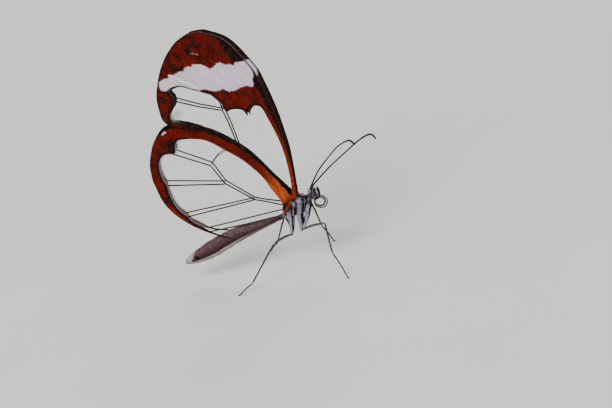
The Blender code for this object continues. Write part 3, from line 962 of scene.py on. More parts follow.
def pale_band(finish, marks):
    """The ragged white band of the forewing: where it lies, and its colour."""
    front, edge, grain = (marks[key] for key in ("front", "edge", "grain"))
    ragged = finish.noise(finish.joined(marks["across"] * 0.8, marks["along"] * 0.1, 11.0), 1.0, 2.0)
    pale = finish.step(marks["white"] + (ragged - 0.5) * 0.7 + (grain - 0.5) * 0.3, -0.1, 0.1)
    close = finish.step(front, 3.0, 2.0) * finish.step(edge, 0.1, 0.3)
    pale = pale * finish.most(finish.step(edge, 0.22, 0.36), close)
    band = finish.mix(finish.step(grain, 0.3, 0.7), (0.52, 0.45, 0.56), colour("white"))
    see_through = marks["clear"] * finish.step(grain, 0.3, 0.7) * 0.6
    return pale, finish.mix(see_through, band, (0.38, 0.44, 0.3))


def scale_look(finish, base, pale):
    """The look of loose scales: each a little darker than the skin, some with a painted highlight at the
    tip.
    """
    shade = finish.attribute("shade")
    base = finish.mix(shade * (0.5 - pale * 0.35), base, (0.0, 0.0, 0.0))
    # Painted highlight at the tips of the lighter scales
    glint = finish.attribute("tip") * finish.step(shade, 0.6, 1.0) * 0.12
    base = finish.mix(glint, base, (0.5, 0.2, 0.12))
    finish.set(base_color=base, roughness=0.5 + shade * 0.25)


def membrane_look(finish, marks, base, fore):
    """The look of the wing's skin: opaque under the scales, clear with a faint veil in the window."""
    window, haze_and_sheen = marks["window"], marks["haze_and_sheen"]
    streaks = finish.noise(finish.joined(marks["across"] * 2.2, marks["along"] * 0.25, 7.0), 1.0, 2.0)
    tint = finish.mix(finish.step(streaks, 0.4, 0.65), colour("glass"), (0.3, 0.31, 0.2))
    # The forewing's pale smudge and the hind wing's band of painted sheen tint and veil the window
    tint = finish.mix(haze_and_sheen, tint, (0.55, 0.52, 0.55) if fore else (0.26, 0.19, 0.22))
    open_share = finish.step(window, -0.04, 0.02)
    veil = (0.008 + finish.step(streaks, 0.45, 0.7) * 0.04) * finish.step(window, 0.2, 1.2)
    veil = veil + haze_and_sheen * (0.7 if fore else 0.3)
    pimples = finish.cells(finish.place(), 9000.0) + marks["grain"] * 0.6
    finish.set(
        base_color=finish.mix(open_share, base, tint),
        alpha=(1 - open_share) + open_share * veil,
        roughness=0.6 - open_share * 0.3,
        normal=finish.bump(pimples, 0.00002, 0.6),
    )


def wing_finish(name, pair, inner, scaled):
    """The finish of one face of a wing, or of the scales on it: ground, rims, then the pale marks."""
    fore = pair == "forewing"
    finish = Finish(name, roughness=0.55, specular_ior_level=0.06)
    marks = {key: finish.attribute(key) for key in WING_MARKS}
    across, along = marks["across"], marks["along"]
    marks["grain"] = finish.noise(finish.joined(across * 3.4, along * 0.5, 0.0), 1.0, 3.0, 0.6)
    marks["cloud"] = finish.noise(finish.joined(across * 0.9, along * 0.4, 3.0), 1.0, 2.0)
    if inner:
        base = inner_ground(finish, marks, fore)
    elif fore:
        base = forewing_rims(finish, marks, outer_ground(finish, marks, fore))
    else:
        base = hindwing_rims(finish, marks, outer_ground(finish, marks, fore))
    if fore:
        pale, band = pale_band(finish, marks)
        base = finish.mix(pale, base, band)
        if not inner:
            base = finish.mix(finish.step(marks["streak"], 0.2, 0.08), base, (0.7, 0.68, 0.78))
    else:
        pale = finish.step(marks["white"], 0.03, 0.08) * (0.0 if inner else 1.0)
        base = finish.mix(pale, base, colour("white"))
    if scaled:
        scale_look(finish, base, pale)
    else:
        membrane_look(finish, marks, base, fore)
    return finish.material


def vein_finish():
    """Near-black skin of the wing veins."""
    finish = Finish("vein_brown", roughness=0.55, specular_ior_level=0.15)
    grain = finish.noise(finish.place(), 3000.0)
    finish.set(
        base_color=finish.mix(finish.step(grain, 0.35, 0.75), colour("black"), (0.022, 0.008, 0.006)),
        normal=finish.bump(grain, 0.00001),
    )
    return finish.material


def make_wing_pair(pair):
    """Both wings of a pair: sheet, veins, and scales on either face."""
    finishes = {}
    for inner in (False, True):
        for scaled in (False, True):
            kind = f"{pair}_{'inner' if inner else 'outer'}_{'scales' if scaled else 'skin'}"
            finishes[inner, scaled] = wing_finish(kind, pair, inner, scaled)
    veins_finish = vein_finish()
    for number, side in enumerate(("right", "left")):
        wing = Wing(pair, side)
        rows, columns = WING_GRID[pair]
        sheet_finishes = [finishes[False, False], finishes[True, False]]
        sheet = wing_sheet(wing, rows, columns, sheet_finishes)
        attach(sheet, "root")
        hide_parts(wing.name)
        veins = wing_veins(wing)
        place_piece(veins, [veins_finish])
        for inner in (False, True):
            scales = wing_scales(wing, inner, 10 * number + inner + WING_SEEDS[pair])
            place_piece(scales, [finishes[inner, True]])


# Body

def angle_from_top(places):
    """The angle round the abdomen at each place, from 0 on its top to pi below, on either side."""
    sections = np.array(ABDOMEN_SECTIONS)[::-1]
    middle, tall, wide = (np.interp(places[:, 0], sections[:, 0], sections[:, k]) for k in (1, 2, 3))
    return np.arctan2(np.abs(places[:, 1]) / wide, (places[:, 2] - middle) / tall)


BODY_MARKS = ("pale", "orange", "mauve", "top", "cream", "dark", "leg")


def thorax_stripes(places):
    """How pale the thorax is: three slanting stripes, the collar, the wing bases and the rear end."""
    x, _, z = places.T
    upright = x - 0.14 * (z - 7.6)
    from_hip = x + 0.4 - np.where(z > 8.4, 0.23, 0.067) * (z - 8.4) - 0.15 * blend_step(z, 8.2, 9.0)
    middle = soft_band(from_hip, -0.4, 0.17, 0.04) + 0.6 * soft_band(from_hip, 0.5, 0.62, 0.03)
    from_rear = x + 1.6 - 0.15 * (z - 8.2)
    rear = soft_band(from_rear, -0.55, 0.06, 0.04)
    rear = np.maximum(rear, soft_band(from_rear, 0.3, 0.55, 0.04) * 0.8)
    rear *= 1 - blend_step(z - 0.5 * x, 9.95, 10.3)
    foreleg_line = x - (1.2 - 0.39 * (9.3 - z))
    front = soft_band(foreleg_line, -0.4, 0.1, 0.05) * (upright > 0.2)
    front = front * (1 - blend_step(z, 10.1, 10.4))
    collar = 1 - blend_step(np.linalg.norm(places - (0.75, 0.0, 10.75), axis=1), 0.25, 0.42)
    front = np.maximum(front, collar)
    wing_base = 0.6 - 0.6 * blend_step(np.hypot(x + 0.72, 0.6 * (z - 10.2)), 0.15, 0.38)
    pale = np.maximum.reduce((middle, rear, front, wing_base))
    pale *= 1 - 0.7 * blend_step(z, 10.3, 10.7) * (1 - collar)
    return np.maximum(pale, 0.85 * blend_step(-x, 2.25, 2.45))


def head_stripes(places):
    """How pale the head is: the arc behind the eye, the crown and the striped face."""
    x, _, z = places.T
    from_eye = np.hypot(x - EYE_CENTRE[0], z - EYE_CENTRE[2])
    tilted = x + 0.15 * (z - EYE_CENTRE[2])
    behind_eye = 1 - blend_step(tilted, EYE_CENTRE[0] + 0.1, EYE_CENTRE[0] + 0.35)
    pale = soft_band(from_eye, 0.58, 0.8, 0.04) * behind_eye
    pale = np.maximum(pale, blend_step(z, 11.15, 11.35))
    face = blend_step(x, 2.15, 2.25) * (1 - blend_step(z, 11.1, 11.3))
    stripes = 0.5 + 0.5 * np.cos((x + 0.12 * (z - 10.6) - 2.5) * 2 * math.pi / 0.3)
    return pale * (1 - face) + blend_step(stripes, 0.3, 0.6) * face


def body_marks(places):
    """The coat's markings on the trunk, the same for the skin and for the hair and scales on it. Top places
    the painted highlight on the abdomen's top.
    """
    x, y, z = places.T
    head = blend_step(x, 1.2, 1.4)
    abdomen = blend_step(-x, 2.5, 3.0)
    angle = angle_from_top(places)
    rearward = 0.4 * blend_step(-x, 2.8, 3.6) + 0.6 * blend_step(-x, 7.5, 11.0)
    cream = soft_band(angle, 2.05, 2.6, 0.08) * rearward
    underside = blend_step(angle, 2.42, 2.6) * blend_step(-x, 10.5, 13.0)
    tip = blend_step(0.45 * (z - 3.6) - x, 16.3, 16.8)
    spot = 1 - blend_step(np.hypot(x + 15.72, z - 4.0), 0.22, 0.42)
    root_line = line_distance(places[:, [0, 2]], [(-2.45, 8.9), (-1.0, 10.6)])
    orange = (1 - blend_step(root_line, 0.08, 0.21)) * blend_step(np.abs(y), 0.45, 0.6)
    pale = thorax_stripes(places) * (1 - head) * (1 - abdomen) + head_stripes(places) * head
    return {
        "pale": pale * (1 - orange) + tip * 0.85,
        "orange": orange * (1 - abdomen) * (1 - head) + underside * abdomen * (1 - tip) * 0.3,
        "mauve": abdomen * (1 - tip),
        # top: how far round towards the top of the abdomen a place lies, where the painted highlight goes
        "top": abdomen * blend_step(np.cos(angle), -0.5, 0.9),
        "cream": cream * abdomen * (1 - tip) * (1 - underside) + tip * abdomen * 0.35,
        "dark": spot * abdomen,
        "leg": np.zeros(len(places)),
    }


def store_marks(mesh, values):
    """Store every mark of a surface at its vertices."""
    for name, numbers in values.items():
        set_values(mesh, name, numbers)


def abdomen_waist(x):
    """Each ring of the abdomen swells a little and is pinched where it meets the next."""
    ring = np.clip((-x - 3.2) / 1.72, 0, 8.4)
    share = ring - np.floor(ring)
    swell = 1 + 0.035 * np.sin(math.pi * share) ** 0.6 - 0.02
    return np.where(-x > 3.2, swell, 1.0)


def leg_segments(name):
    """The paths of a walking leg's thigh, shin and foot."""
    end, knee, ankle, foot = (np.array(place) for place in LEGS[name][1:])
    side = np.sign(knee[1])
    thigh = [end + (0.05, 0, 0.25), end, end * 0.55 + knee * 0.45 + (0, 0, 0.12), knee]
    shin = [knee, knee * 0.5 + ankle * 0.5 + (0, side * 0.12, 0.06), ankle]
    lean = foot - ankle
    sole = foot - lean * 0.12
    sole[2] = 0.16
    foot_path = [ankle, ankle + lean * 0.5 + (0, 0, 0.05), sole, foot]
    return thigh, shin, foot_path


def leg_pieces(name):
    """The tubes of one leg, with their marks stored."""
    thigh, shin, foot = leg_segments(name)
    pieces = []
    parts = (("thigh", thigh, FEMUR_RADII, 40), ("shin", shin, TIBIA_RADII, 36), ("foot", foot, None, 60))
    for part, anchors, radii, rings in parts:
        path = smooth_curve(anchors, rings)
        share = np.linspace(0, 1, rings)
        if radii is None:
            joint = share * TARSUS_JOINTS
            swell = 1 + 0.3 * (joint - np.floor(joint)) ** 2
            size = TARSUS_RADIUS * swell * (1 - 0.2 * share)
        else:
            size = np.interp(share, np.linspace(0, 1, len(radii)), radii)
        size[0] *= 0.5
        size[-1] *= 0.5
        size[-2] *= 0.85
        places = tube_places(path, size, 12)
        places[:, :, 2] = np.maximum(places[:, :, 2], SKIN_FLOOR)
        piece = rolled_piece(f"{name}_{part}", places)
        under = body_places(piece.data)
        store_marks(piece.data, leg_marks(part, under, path))
        pieces.append(piece)
    return pieces


def leg_marks(part, places, path):
    """Marks of a leg: pale under the thigh and at the knee, brown on the shin, darker on the foot."""
    apart = np.linalg.norm(places[:, None, :] - path[None, :, :], axis=2)
    near = apart.argmin(axis=1)
    share = near / (len(path) - 1)
    below = blend_step(path[near][:, 2] - places[:, 2], 0.02, 0.09)
    count = len(places)
    if part == "thigh":
        pale = np.maximum(0.38 + below * 0.5, blend_step(share, 0.93, 0.99) * 0.7)
        leg = np.full(count, 0.15)
    elif part == "shin":
        pale = 0.35 * (1 - blend_step(share, 0.0, 0.12)) + 0.12 * below
        leg = 1 - 0.25 * share
    else:
        pale = np.zeros(count)
        leg = 0.6 - 0.35 * share
    values = {key: np.zeros(count) for key in BODY_MARKS}
    values.update(pale=pale, leg=leg)
    return values


def make_trunk():
    """Head, neck, thorax, abdomen, hips and forelegs, welded into one smooth mesh."""
    forms = [
        section_piece("thorax_form", THORAX_SECTIONS, 40),
        section_piece("abdomen_form", ABDOMEN_SECTIONS, 150, waist=abdomen_waist),
        section_piece("neck_form", NECK_SECTIONS, 10),
        ball_piece("head_form", HEAD_CENTRE, HEAD_HALF),
        ball_piece("face_form", (2.2, 0.0, 10.35), (0.42, 0.36, 0.62)),
        ball_piece("crown_form", (1.9, 0.0, 11.2), (0.36, 0.42, 0.34)),
    ]
    for side in (-1, 1):
        forms.append(ball_piece("shoulder_form", (-0.45, side * 0.72, 10.15), (0.75, 0.36, 0.62)))
        forms.append(ball_piece("flank_form", (-1.7, side * 0.62, 9.4), (0.7, 0.42, 0.72)))
        foreleg = [(x, side * y, z) for x, y, z in FORELEG_PATH]
        forms.append(limb_piece("foreleg_form", foreleg, FORELEG_RADII, 24, 16, 0.8))
    for name in LEGS:
        top, end = (np.array(place) for place in LEGS[name][:2])
        hip = [top + (0.1, 0, 0.5), top, top * 0.5 + end * 0.5, end + (0, 0, 0.1), end - (0, 0, 0.12)]
        forms.append(limb_piece("hip_form", hip, COXA_RADII, 24, 18, 0.72))
    trunk = join_pieces("body_skin", forms)
    apply_modifier(trunk, "REMESH", mode="VOXEL", voxel_size=sizes().voxel, use_smooth_shade=True)
    apply_modifier(trunk, "SMOOTH", factor=0.5, iterations=4)
    return trunk


def body_finish(name, coated):
    """The body's colours over its markings, with painted light: the abdomen lighter mauve on top as painted
    highlight and darker below as painted shade. The coat's blades vary one by one, their tips lightened as
    painted highlight.
    """
    finish = Finish(name, roughness=0.65, specular_ior_level=0.1)
    marks = {key: finish.attribute(key) for key in BODY_MARKS}
    place = finish.place()
    fleck = finish.noise(place, 9000.0, 2.0)
    patchy = finish.noise(place, 2200.0, 3.0)
    brown = finish.mix(fleck, shade_of(colour("brown"), 0.45), shade_of(colour("brown"), 1.7))
    lilac = finish.mix(patchy, shade_of(colour("lilac"), 0.5), shade_of(colour("lilac"), 1.5))
    base = finish.mix(finish.step(marks["pale"] + (fleck - 0.5) * 0.9, 0.3, 0.7), brown, lilac)
    # Painted light on the abdomen's own purple-brown: darker below as painted shade, lighter mauve on top
    # as painted highlight
    belly_in_painted_shade = finish.mix(finish.step(fleck, 0.3, 0.7), (0.014, 0.005, 0.007), (0.055, 0.018, 0.028))
    back = finish.mix(finish.step(patchy, 0.3, 0.7), shade_of(colour("mauve"), 0.55), colour("mauve"))
    base = finish.mix(marks["mauve"], base, finish.mix(marks["top"], belly_in_painted_shade, back))
    base = finish.mix(marks["leg"], base, finish.mix(patchy, shade_of(colour("leg"), 0.5), colour("leg")))
    for mark, share, dark in (("cream", 0.9, 0.7), ("orange", 1.0, 0.5)):
        tone = finish.mix(fleck, shade_of(colour(mark), dark), colour(mark))
        base = finish.mix(marks[mark] * share, base, tone)
    base = finish.mix(marks["dark"], base, colour("black"))
    if coated:
        shade = finish.attribute("shade")
        base = finish.mix(shade * 0.65, base, (0.003, 0.002, 0.003))
        # Painted highlight: the tips of the darker blades lightened, pale lilac over pale marks
        lighter = finish.attribute("tip") * finish.step(shade, 0.4, 0.0) * 0.3
        base = finish.mix(lighter, base, finish.mix(marks["pale"], (0.1, 0.07, 0.09), (0.7, 0.66, 0.78)))
        finish.set(base_color=base, roughness=0.5 + shade * 0.25)
        return finish.material
    height = finish.cells(place, 14000.0) + fleck
    finish.set(base_color=base, roughness=0.5 + fleck * 0.3, normal=finish.bump(height, 0.00002, 0.7))
    return finish.material


# How many blades the coat of the trunk, of a palp and of each part of a leg has
BODY_BLADES = 42000
PALP_BLADES = 900
LEG_BLADES = {"thigh": 900, "shin": 900, "foot": 500}


def scatter(mesh, count, rng):
    """Spots spread evenly by area over a mesh, with the way each faces."""
    mesh.calc_loop_triangles()
    corners = np.empty(len(mesh.loop_triangles) * 3, int)
    mesh.loop_triangles.foreach_get("vertices", corners)
    places = body_places(mesh)[corners.reshape(-1, 3)]
    edge_one = places[:, 1] - places[:, 0]
    edge_two = places[:, 2] - places[:, 0]
    normals = np.cross(edge_one, edge_two)
    area = np.linalg.norm(normals, axis=1)
    chosen = rng.choice(len(area), count, p=area / area.sum())
    u, v = rng.random((2, count))
    over = u + v > 1
    u, v = np.where(over, 1 - u, u), np.where(over, 1 - v, v)
    spots = places[chosen, 0] + u[:, None] * edge_one[chosen] + v[:, None] * edge_two[chosen]
    return spots, unit(normals[chosen])


def box_patches(places, normals):
    """A place on the bake map for each blade: the skin unfolded onto six sides of each half."""
    strongest = np.abs(normals).argmax(axis=1)
    facing = strongest * 2 + (normals[np.arange(len(normals)), strongest] > 0)
    tile = facing + 6 * (places[:, 1] > 0)
    first = np.where(strongest == 0, 1, 0)
    second = np.where(strongest == 2, 1, 2)
    rows = np.arange(len(places))
    low, high = places.min(axis=0), places.max(axis=0)
    even = (places - low) / (high - low).max()
    u = even[rows, first] * 0.24 + (tile % 4) * 0.25 + 0.004
    v = even[rows, second] * 0.32 + (tile // 4) * 0.333 + 0.004
    return np.stack((u, v), axis=1)


def lay_flat(directions, normals):
    """Directions pressed onto the surface."""
    return unit(directions - normals * np.sum(directions * normals, axis=1)[:, None])


def make_body_coat(trunk, finish):
    """Hair on the head and thorax, short scales on the hips and flat scales on the abdomen."""
    rng = np.random.default_rng(BODY_SEED)
    spots, normals = scatter(trunk.data, BODY_BLADES, rng)
    x, z = spots[:, 0], spots[:, 2]
    abdomen = x < -2.75
    head = x > 1.15
    hips = ~abdomen & ~head & (z < 8.3)
    chest = ~abdomen & ~head & ~hips
    in_eye = (np.hypot(x - EYE_CENTRE[0], z - EYE_CENTRE[2]) < 0.6) & (np.abs(spots[:, 1]) > 0.3)
    # Each kind of coat: where it grows, how it lies, length, width, rise and the width of its tip
    kinds = {
        "abdomen_scales": (abdomen, (-1.0, 0.0, 0.25), 0.25, 0.14, 0.14, 0.5),
        "thorax_hair": (chest, (-0.35, 0.0, -1.0), sizes().hair_length / MM, 0.05, 0.3, 0.2),
        "hip_scales": (hips, (-0.05, 0.0, -1.0), 0.24, 0.07, 0.16, 0.3),
        "head_hair": (head & ~in_eye, (0.0, 0.0, 0.0), 0.2, 0.04, 0.25, 0.2),
    }
    for name, (region, lie, length, width, rise, tip) in kinds.items():
        chosen = np.flatnonzero(region)
        roots, facing = spots[chosen], normals[chosen]
        count = len(roots)
        directions = np.tile(lie, (count, 1))
        if name == "abdomen_scales":
            angle = np.arctan2(roots[:, 1], roots[:, 2] - 5.5)
            patches = np.stack((0.5 + angle / 6.4, (roots[:, 0] + 18) / 15.6), axis=1)
        else:
            patches = box_patches(roots, facing)
        if name == "head_hair":
            directions = unit(roots - np.array((2.7, 0.0, 10.0)))
            offset = roots - np.array((EYE_CENTRE[0], 0.0, EYE_CENTRE[2]))
            offset[:, 1] = 0
            apart = np.linalg.norm(offset, axis=1)
            beside = ((1 - blend_step(apart, 0.8, 1.0)) * (np.abs(roots[:, 1]) > 0.3))[:, None]
            directions = directions * (1 - beside) + unit(offset[:, ::-1] * (-1.0, 0.0, 1.0)) * beside
        if name == "thorax_hair":
            high = blend_step(roots[:, 2], 10.2, 10.6)[:, None]
            directions = directions * (1 - high) + np.array((-1.0, 0.0, 0.15)) * high
        directions = directions + rng.normal(0, 0.16, (count, 3))
        values = body_marks(roots)
        values["shade"] = rng.random(count)
        lengths = length * rng.uniform(0.65, 1.2, count)
        piece = blade_piece(
            name, roots - facing * 0.01, facing, lay_flat(directions, facing), lengths,
            width * rng.uniform(0.7, 1.2, count), lengths * rise * rng.uniform(0.4, 1.3, count),
            np.clip(patches, 0.002, 0.994), values, tip,
        )
        place_piece(piece, [finish])


def make_leg_coat(finish):
    """Small scales lying down the legs."""
    rng = np.random.default_rng(LEG_SEED)
    parts = []
    for number, name in enumerate(LEGS):
        part_radii = (FEMUR_RADII, TIBIA_RADII, (0.06, 0.05))
        for (part, count), anchors, radii in zip(LEG_BLADES.items(), leg_segments(name), part_radii):
            path = smooth_curve(anchors, 80)
            directions, first, second = tube_frames(path)
            share = rng.uniform(0.03, 0.96, count)
            index = (share * 79).astype(int)
            angle = rng.uniform(0, 2 * math.pi, count)
            facing = np.cos(angle)[:, None] * first[index] + np.sin(angle)[:, None] * second[index]
            size = np.interp(share, np.linspace(0, 1, len(radii)), radii)
            roots = path[index] + facing * (size * 0.97)[:, None]
            lies = lay_flat(directions[index] + rng.normal(0, 0.12, (count, 3)), facing)
            along = {"thigh": 0.0, "shin": 0.36, "foot": 0.7}[part] + share * 0.29
            patches = np.stack((along, (number + angle / 6.4) * 0.245 + 0.01), axis=1)
            values = leg_marks(part, roots, path)
            values["shade"] = rng.random(count)
            lengths = np.full(count, 0.1 if part == "foot" else 0.15)
            parts.append((roots, facing, lies, patches, values, lengths))
    roots, facing, lies, patches = (np.concatenate([part[k] for part in parts]) for k in range(4))
    values = {key: np.concatenate([part[4][key] for part in parts]) for key in parts[0][4]}
    lengths = np.concatenate([part[5] for part in parts]) * rng.uniform(0.7, 1.3, len(roots))
    lifts = lengths * rng.uniform(0.05, 0.18, len(roots))
    widths = np.full(len(roots), 0.045)
    piece = blade_piece("leg_scales", roots, facing, lies, lengths, widths, lifts, patches, values, 0.2)
    place_piece(piece, [finish])


FLESH = ["head", "thorax", "abdomen", "foreleg_left", "foreleg_right"] + [
    f"{leg}_{part}" for leg in LEGS for part in ("coxa", "femur", "tibia", "tarsus")
]


def make_body():
    """The welded skin of trunk and legs, and the coat that covers it."""
    trunk = make_trunk()
    make_body_coat(trunk, body_finish("coat_of_body", True))
    store_marks(trunk.data, body_marks(body_places(trunk.data)))
    legs = [piece for name in LEGS for piece in leg_pieces(name)]
    skin = join_pieces("body_skin", [trunk, *legs])
    place_piece(skin, [body_finish("skin_of_body", False)], FLESH)
    make_leg_coat(body_finish("coat_of_legs", True))


# Head parts and claws

def eye_finish():
    """A dark faceted eye with pale rings and stripes under a clear gloss."""
    finish = Finish(
        "eye_facets", roughness=0.2, specular_ior_level=0.14, coat_weight=0.14, coat_roughness=0.05,
    )
    place = finish.place()
    ring, side = finish.attribute("ring"), finish.attribute("side")
    facets = finish.cells(place, 22000.0)
    cloud = finish.noise(place, 1400.0)
    base = finish.mix(finish.step(cloud, 0.4, 0.65), (0.004, 0.002, 0.004), (0.02, 0.01, 0.018))
    inner_ring = finish.band(ring, 0.2, 0.28, 0.08) * finish.step(cloud, 0.2, 0.8) * 0.85
    base = finish.mix(inner_ring, base, (0.22, 0.17, 0.26))
    for line in (0.2, 0.36):
        base = finish.mix(finish.band(side, line, line + 0.06, 0.02) * 0.5, base, (0.2, 0.17, 0.22))
    rear = finish.step(ring, 0.47, 0.53) * finish.step(side, 0.0, -0.2)
    base = finish.mix(rear * 0.8, base, (0.36, 0.28, 0.41))
    finish.set(
        base_color=base,
        roughness=0.2 + facets * 0.15,
        normal=finish.bump(1 - facets, 0.000008, 0.8),
    )
    return finish.material


def horn_finish(name, dark, light):
    """Smooth horn with a fine grain between two tones."""
    finish = Finish(name, roughness=0.4, specular_ior_level=0.14)
    grain = finish.noise(finish.place(), 4000.0, 3.0)
    finish.set(
        base_color=finish.mix(finish.step(grain, 0.35, 0.7), dark, light),
        roughness=0.32 + grain * 0.25,
        normal=finish.bump(grain, 0.00001, 0.8),
    )
    return finish.material


def feeler_piece(side, anchors):
    """A feeler of many short joints, with a drooping slender club."""
    path = smooth_curve(anchors, FINE_RINGS)
    share = np.linspace(0, 1, FINE_RINGS)
    joint = share * FEELER_JOINTS
    swell = 1 + 0.14 * np.sin(math.pi * (joint - np.floor(joint))) - 0.07
    stops = (0, 0.02, 0.05, 0.5, 0.8, 0.93, 0.985, 1)
    size = np.interp(share, stops, (0.17, 0.17, 0.12, 0.1, 0.11, 0.15, 0.12, 0.05))
    size = size * np.where(share > 0.04, swell, 1)
    return rolled_piece(f"feeler_{side}", tube_places(path, size, 10))


def tongue_piece():
    """The tongue, wound in a flat coil of two turns below the face."""
    turn = np.radians(np.linspace(TONGUE_START, TONGUE_START - TONGUE_TURN, 220))
    share = np.linspace(0, 1, 220)
    radius = np.interp(share, (0, 0.3, 0.55, 1), (0.98, 0.96, 0.69, 0.62))
    coil = np.stack((
        TONGUE_CENTRE[0] + radius * np.cos(turn),
        0.1 * (share - 0.5) + TONGUE_CENTRE[1] + 0 * turn,
        TONGUE_CENTRE[2] + radius * np.sin(turn),
    ), axis=1)
    start = np.array([(2.25, -0.05, 10.25), (2.1, -0.05, 10.05)])
    path = smooth_curve(np.vstack((start, coil[::10])), FINE_RINGS)
    stops = (0, 0.1, 0.45, 0.6, 0.95, 1)
    share = np.linspace(0, 1, FINE_RINGS)
    size = np.interp(share, stops, (0.12, 0.08, 0.085, 0.125, 0.11, 0.05))
    return rolled_piece("tongue_coil", tube_places(path, size, 10))


def claw_pieces():
    """Two small curved claws at the end of each walking leg."""
    pieces = []
    for name in LEGS:
        ankle, foot = (np.array(place) for place in LEGS[name][3:])
        ahead = foot - ankle
        ahead[2] = 0
        ahead /= np.linalg.norm(ahead)
        across = np.array((-ahead[1], ahead[0], 0))
        for sign in (-1, 1):
            path = [
                foot - ahead * 0.03, foot + ahead * 0.07 + across * sign * 0.03 + (0, 0, 0.02),
                foot + ahead * 0.15 + across * sign * 0.06 + (0, 0, -0.02),
            ]
            pieces.append(limb_piece("claw", path, [0.028, 0.022, 0.006], 10, 8))
    return pieces


def make_head_parts():
    """Eyes, palps with their hair, feelers, tongue and claws."""
    eye_look = eye_finish()
    dark_horn = horn_finish("feeler_dark", (0.004, 0.0025, 0.003), (0.02, 0.011, 0.009))
    palp_look = body_finish("coat_of_palps", True)
    rng = np.random.default_rng(PALP_SEED)
    for side, sign in (("right", -1), ("left", 1)):
        centre = (EYE_CENTRE[0], sign * EYE_CENTRE[1], EYE_CENTRE[2])
        half = (EYE_RADIUS * 0.94, EYE_DEPTH, EYE_RADIUS)
        eye = ball_piece(f"eye_facets_{side}", centre, half, 72, 48)
        offset = body_places(eye.data) - centre
        store_marks(eye.data, {"ring": np.hypot(offset[:, 0], offset[:, 2]), "side": offset[:, 0]})
        place_piece(eye, [eye_look], [f"eye_{side}"])
        path = [(x, sign * y, z) for x, y, z in PALP_PATH]
        palp = limb_piece(f"palp_skin_{side}", path, PALP_RADII, 40, 16)
        blank = np.zeros(len(palp.data.vertices))
        store_marks(palp.data, {"pale": blank, "dark": blank + 0.9, "shade": blank + 0.8})
        place_piece(palp, [palp_look], [f"palp_{side}"])
        spots, normals = scatter(palp.data, PALP_BLADES, rng)
        count = len(spots)
        behind = blend_step(-normals[:, 0], 0.2, 0.6)
        values = {"pale": behind * 0.9, "dark": 0.95 - behind * 0.8, "shade": rng.random(count)}
        lengths = 0.13 * rng.uniform(0.6, 1.3, count)
        directions = np.tile((0.15, 0.0, 1.0), (count, 1)) + rng.normal(0, 0.15, (count, 3))
        hair = blade_piece(
            f"palp_hair_{side}", spots, normals, lay_flat(directions, normals), lengths,
            np.full(count, 0.035), lengths * 0.12, box_patches(spots, normals), values, 0.2,
        )
        place_piece(hair, [palp_look])
        feeler = feeler_piece(side, ANTENNA_RIGHT if side == "right" else ANTENNA_LEFT)
        place_piece(feeler, [dark_horn], [f"antenna_{side}"])
    tongue = tongue_piece()
    tongue_horn = horn_finish("tongue_black", (0.002, 0.0015, 0.002), (0.007, 0.004, 0.004))
    place_piece(tongue, [tongue_horn], ["proboscis"])
    claws = join_pieces("claws", claw_pieces())
    place_piece(claws, [dark_horn])


# Stage

# Name, place in metres, size, power and tint of each light
LIGHTS = [
    ("key", (-0.25, -0.45, 0.5), 0.35, 6.0, (1.0, 0.98, 0.95)),
    ("fill", (0.55, -0.35, 0.3), 0.5, 2.5, (0.95, 0.97, 1.0)),
    ("back", (0.05, 0.6, 0.45), 0.5, 4.0, (1.0, 1.0, 1.0)),
]
LIGHT_TARGET = (0.0, 0.0, 0.018)


def aim_matrix():
    """The camera's three directions, from its turn, height and roll."""
    turn, height, roll = CAMERA_TURN, CAMERA_HEIGHT, CAMERA_ROLL
    right = Vector((math.cos(turn), math.sin(turn), 0))
    up = Vector((-math.sin(turn) * math.sin(height), math.cos(turn) * math.sin(height), math.cos(height)))
    back = Vector((math.sin(turn) * math.cos(height), -math.cos(turn) * math.cos(height), math.sin(height)))
    level_right = right * math.cos(roll) - up * math.sin(roll)
    level_up = right * math.sin(roll) + up * math.cos(roll)
    return Matrix((level_right, level_up, back)).transposed().to_4x4()


def make_camera():
    """The camera at the photograph's place, with its framing."""
    camera = bpy.data.objects.new("camera", bpy.data.cameras.new("camera"))
    camera.data.lens = CAMERA_LENS
    camera.data.sensor_width = CAMERA_SENSOR
    camera.data.clip_start = 0.01
    camera.matrix_world = Matrix.Translation(to_world(CAMERA_PLACE)) @ aim_matrix()
    bpy.context.scene.collection.objects.link(camera)
    bpy.context.scene.camera = camera


def add_light(name, place, size, power, tint):
    """A soft square light, aimed at the middle of the butterfly."""
    clear_selection()
    bpy.ops.object.light_add(type="AREA", location=place)
    light = bpy.context.object
    light.name = name
    light.data.size = size
    light.data.energy = power
    light.data.color = tint
    light.rotation_euler = (Vector(LIGHT_TARGET) - Vector(place)).to_track_quat("-Z", "Y").to_euler()


def make_floor():
    """The pale floor under the butterfly."""
    clear_selection()
    bpy.ops.mesh.primitive_plane_add(size=4.0)
    floor = bpy.context.object
    floor.name = "floor"
    finish = Finish("floor_pale", roughness=0.85, specular_ior_level=0.1)
    tone = finish.noise(finish.place(), 30.0)
    finish.set(base_color=finish.mix(tone, (0.6, 0.61, 0.58), (0.66, 0.67, 0.64)))
    floor.data.materials.append(finish.material)


def make_world():
    """Soft light from all round."""
    world = bpy.data.worlds.new("studio")
    world.use_nodes = True
    background = world.node_tree.nodes["Background"]
    background.inputs["Color"].default_value = (0.9, 0.93, 1.0, 1.0)
    background.inputs["Strength"].default_value = 0.36
    bpy.context.scene.world = world


# Operators

class BUTTERFLY_OT_stage(bpy.types.Operator):
    """Add the floor, the studio light and the camera"""

    bl_idname = "butterfly.stage"
    bl_label = "Stage"

    def execute(self, context):
        make_floor()
        make_world()
        for light in LIGHTS:
            add_light(*light)
        make_camera()
        return {"FINISHED"}


class BUTTERFLY_OT_forewings(bpy.types.Operator):
    """Make the two forewings with their veins and scales"""

    bl_idname = "butterfly.forewings"
    bl_label = "Forewings"

    def execute(self, context):
        make_wing_pair("forewing")
        return {"FINISHED"}


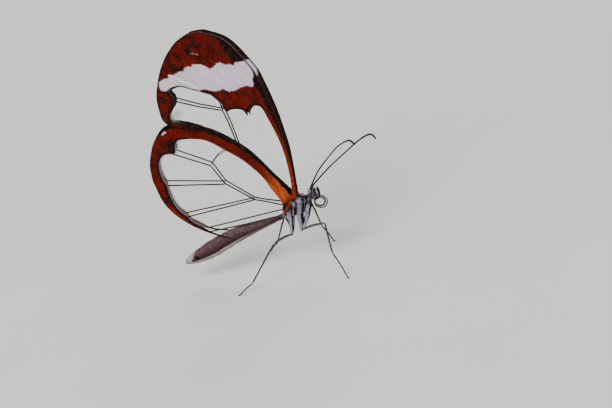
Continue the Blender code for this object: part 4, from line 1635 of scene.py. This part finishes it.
class BUTTERFLY_OT_hindwings(bpy.types.Operator):
    """Make the two hind wings with their veins and scales"""

    bl_idname = "butterfly.hindwings"
    bl_label = "Hind wings"

    def execute(self, context):
        make_wing_pair("hindwing")
        return {"FINISHED"}


class BUTTERFLY_OT_body(bpy.types.Operator):
    """Make the body's skin, the legs and the coat over them"""

    bl_idname = "butterfly.body"
    bl_label = "Body and coat"

    def execute(self, context):
        make_body()
        return {"FINISHED"}


class BUTTERFLY_OT_head_parts(bpy.types.Operator):
    """Make the eyes, palps, feelers, tongue and claws"""

    bl_idname = "butterfly.head_parts"
    bl_label = "Head parts and claws"

    def execute(self, context):
        make_head_parts()
        return {"FINISHED"}


OPERATORS = [
    BUTTERFLY_OT_stage, BUTTERFLY_OT_forewings, BUTTERFLY_OT_hindwings, BUTTERFLY_OT_body,
    BUTTERFLY_OT_head_parts,
]


class BUTTERFLY_PT_panel(bpy.types.Panel):
    """The steps that make the butterfly, and the settings they read"""

    bl_label = "Butterfly"
    bl_idname = "BUTTERFLY_PT_panel"
    bl_space_type = "VIEW_3D"
    bl_region_type = "UI"
    bl_category = "Butterfly"

    def draw(self, context):
        layout = self.layout
        for group in (context.scene.butterfly_sizes, context.scene.butterfly_colours):
            for key in group.__annotations__:
                layout.prop(group, key)
        for operator in OPERATORS:
            layout.operator(operator.bl_idname)


CLASSES = [ButterflySizes, ButterflyColours, *OPERATORS, BUTTERFLY_PT_panel]


def register():
    """Add the classes and the scene's settings."""
    for item in CLASSES:
        bpy.utils.register_class(item)
    bpy.types.Scene.butterfly_sizes = bpy.props.PointerProperty(type=ButterflySizes)
    bpy.types.Scene.butterfly_colours = bpy.props.PointerProperty(type=ButterflyColours)


def unregister():
    """Take the settings and the classes away again."""
    del bpy.types.Scene.butterfly_colours
    del bpy.types.Scene.butterfly_sizes
    for item in reversed(CLASSES):
        bpy.utils.unregister_class(item)


def main():
    """Run every step in order."""
    register()
    for operator in OPERATORS:
        group, name = operator.bl_idname.split(".")
        getattr(getattr(bpy.ops, group), name)()


if __name__ == "__main__":
    main()
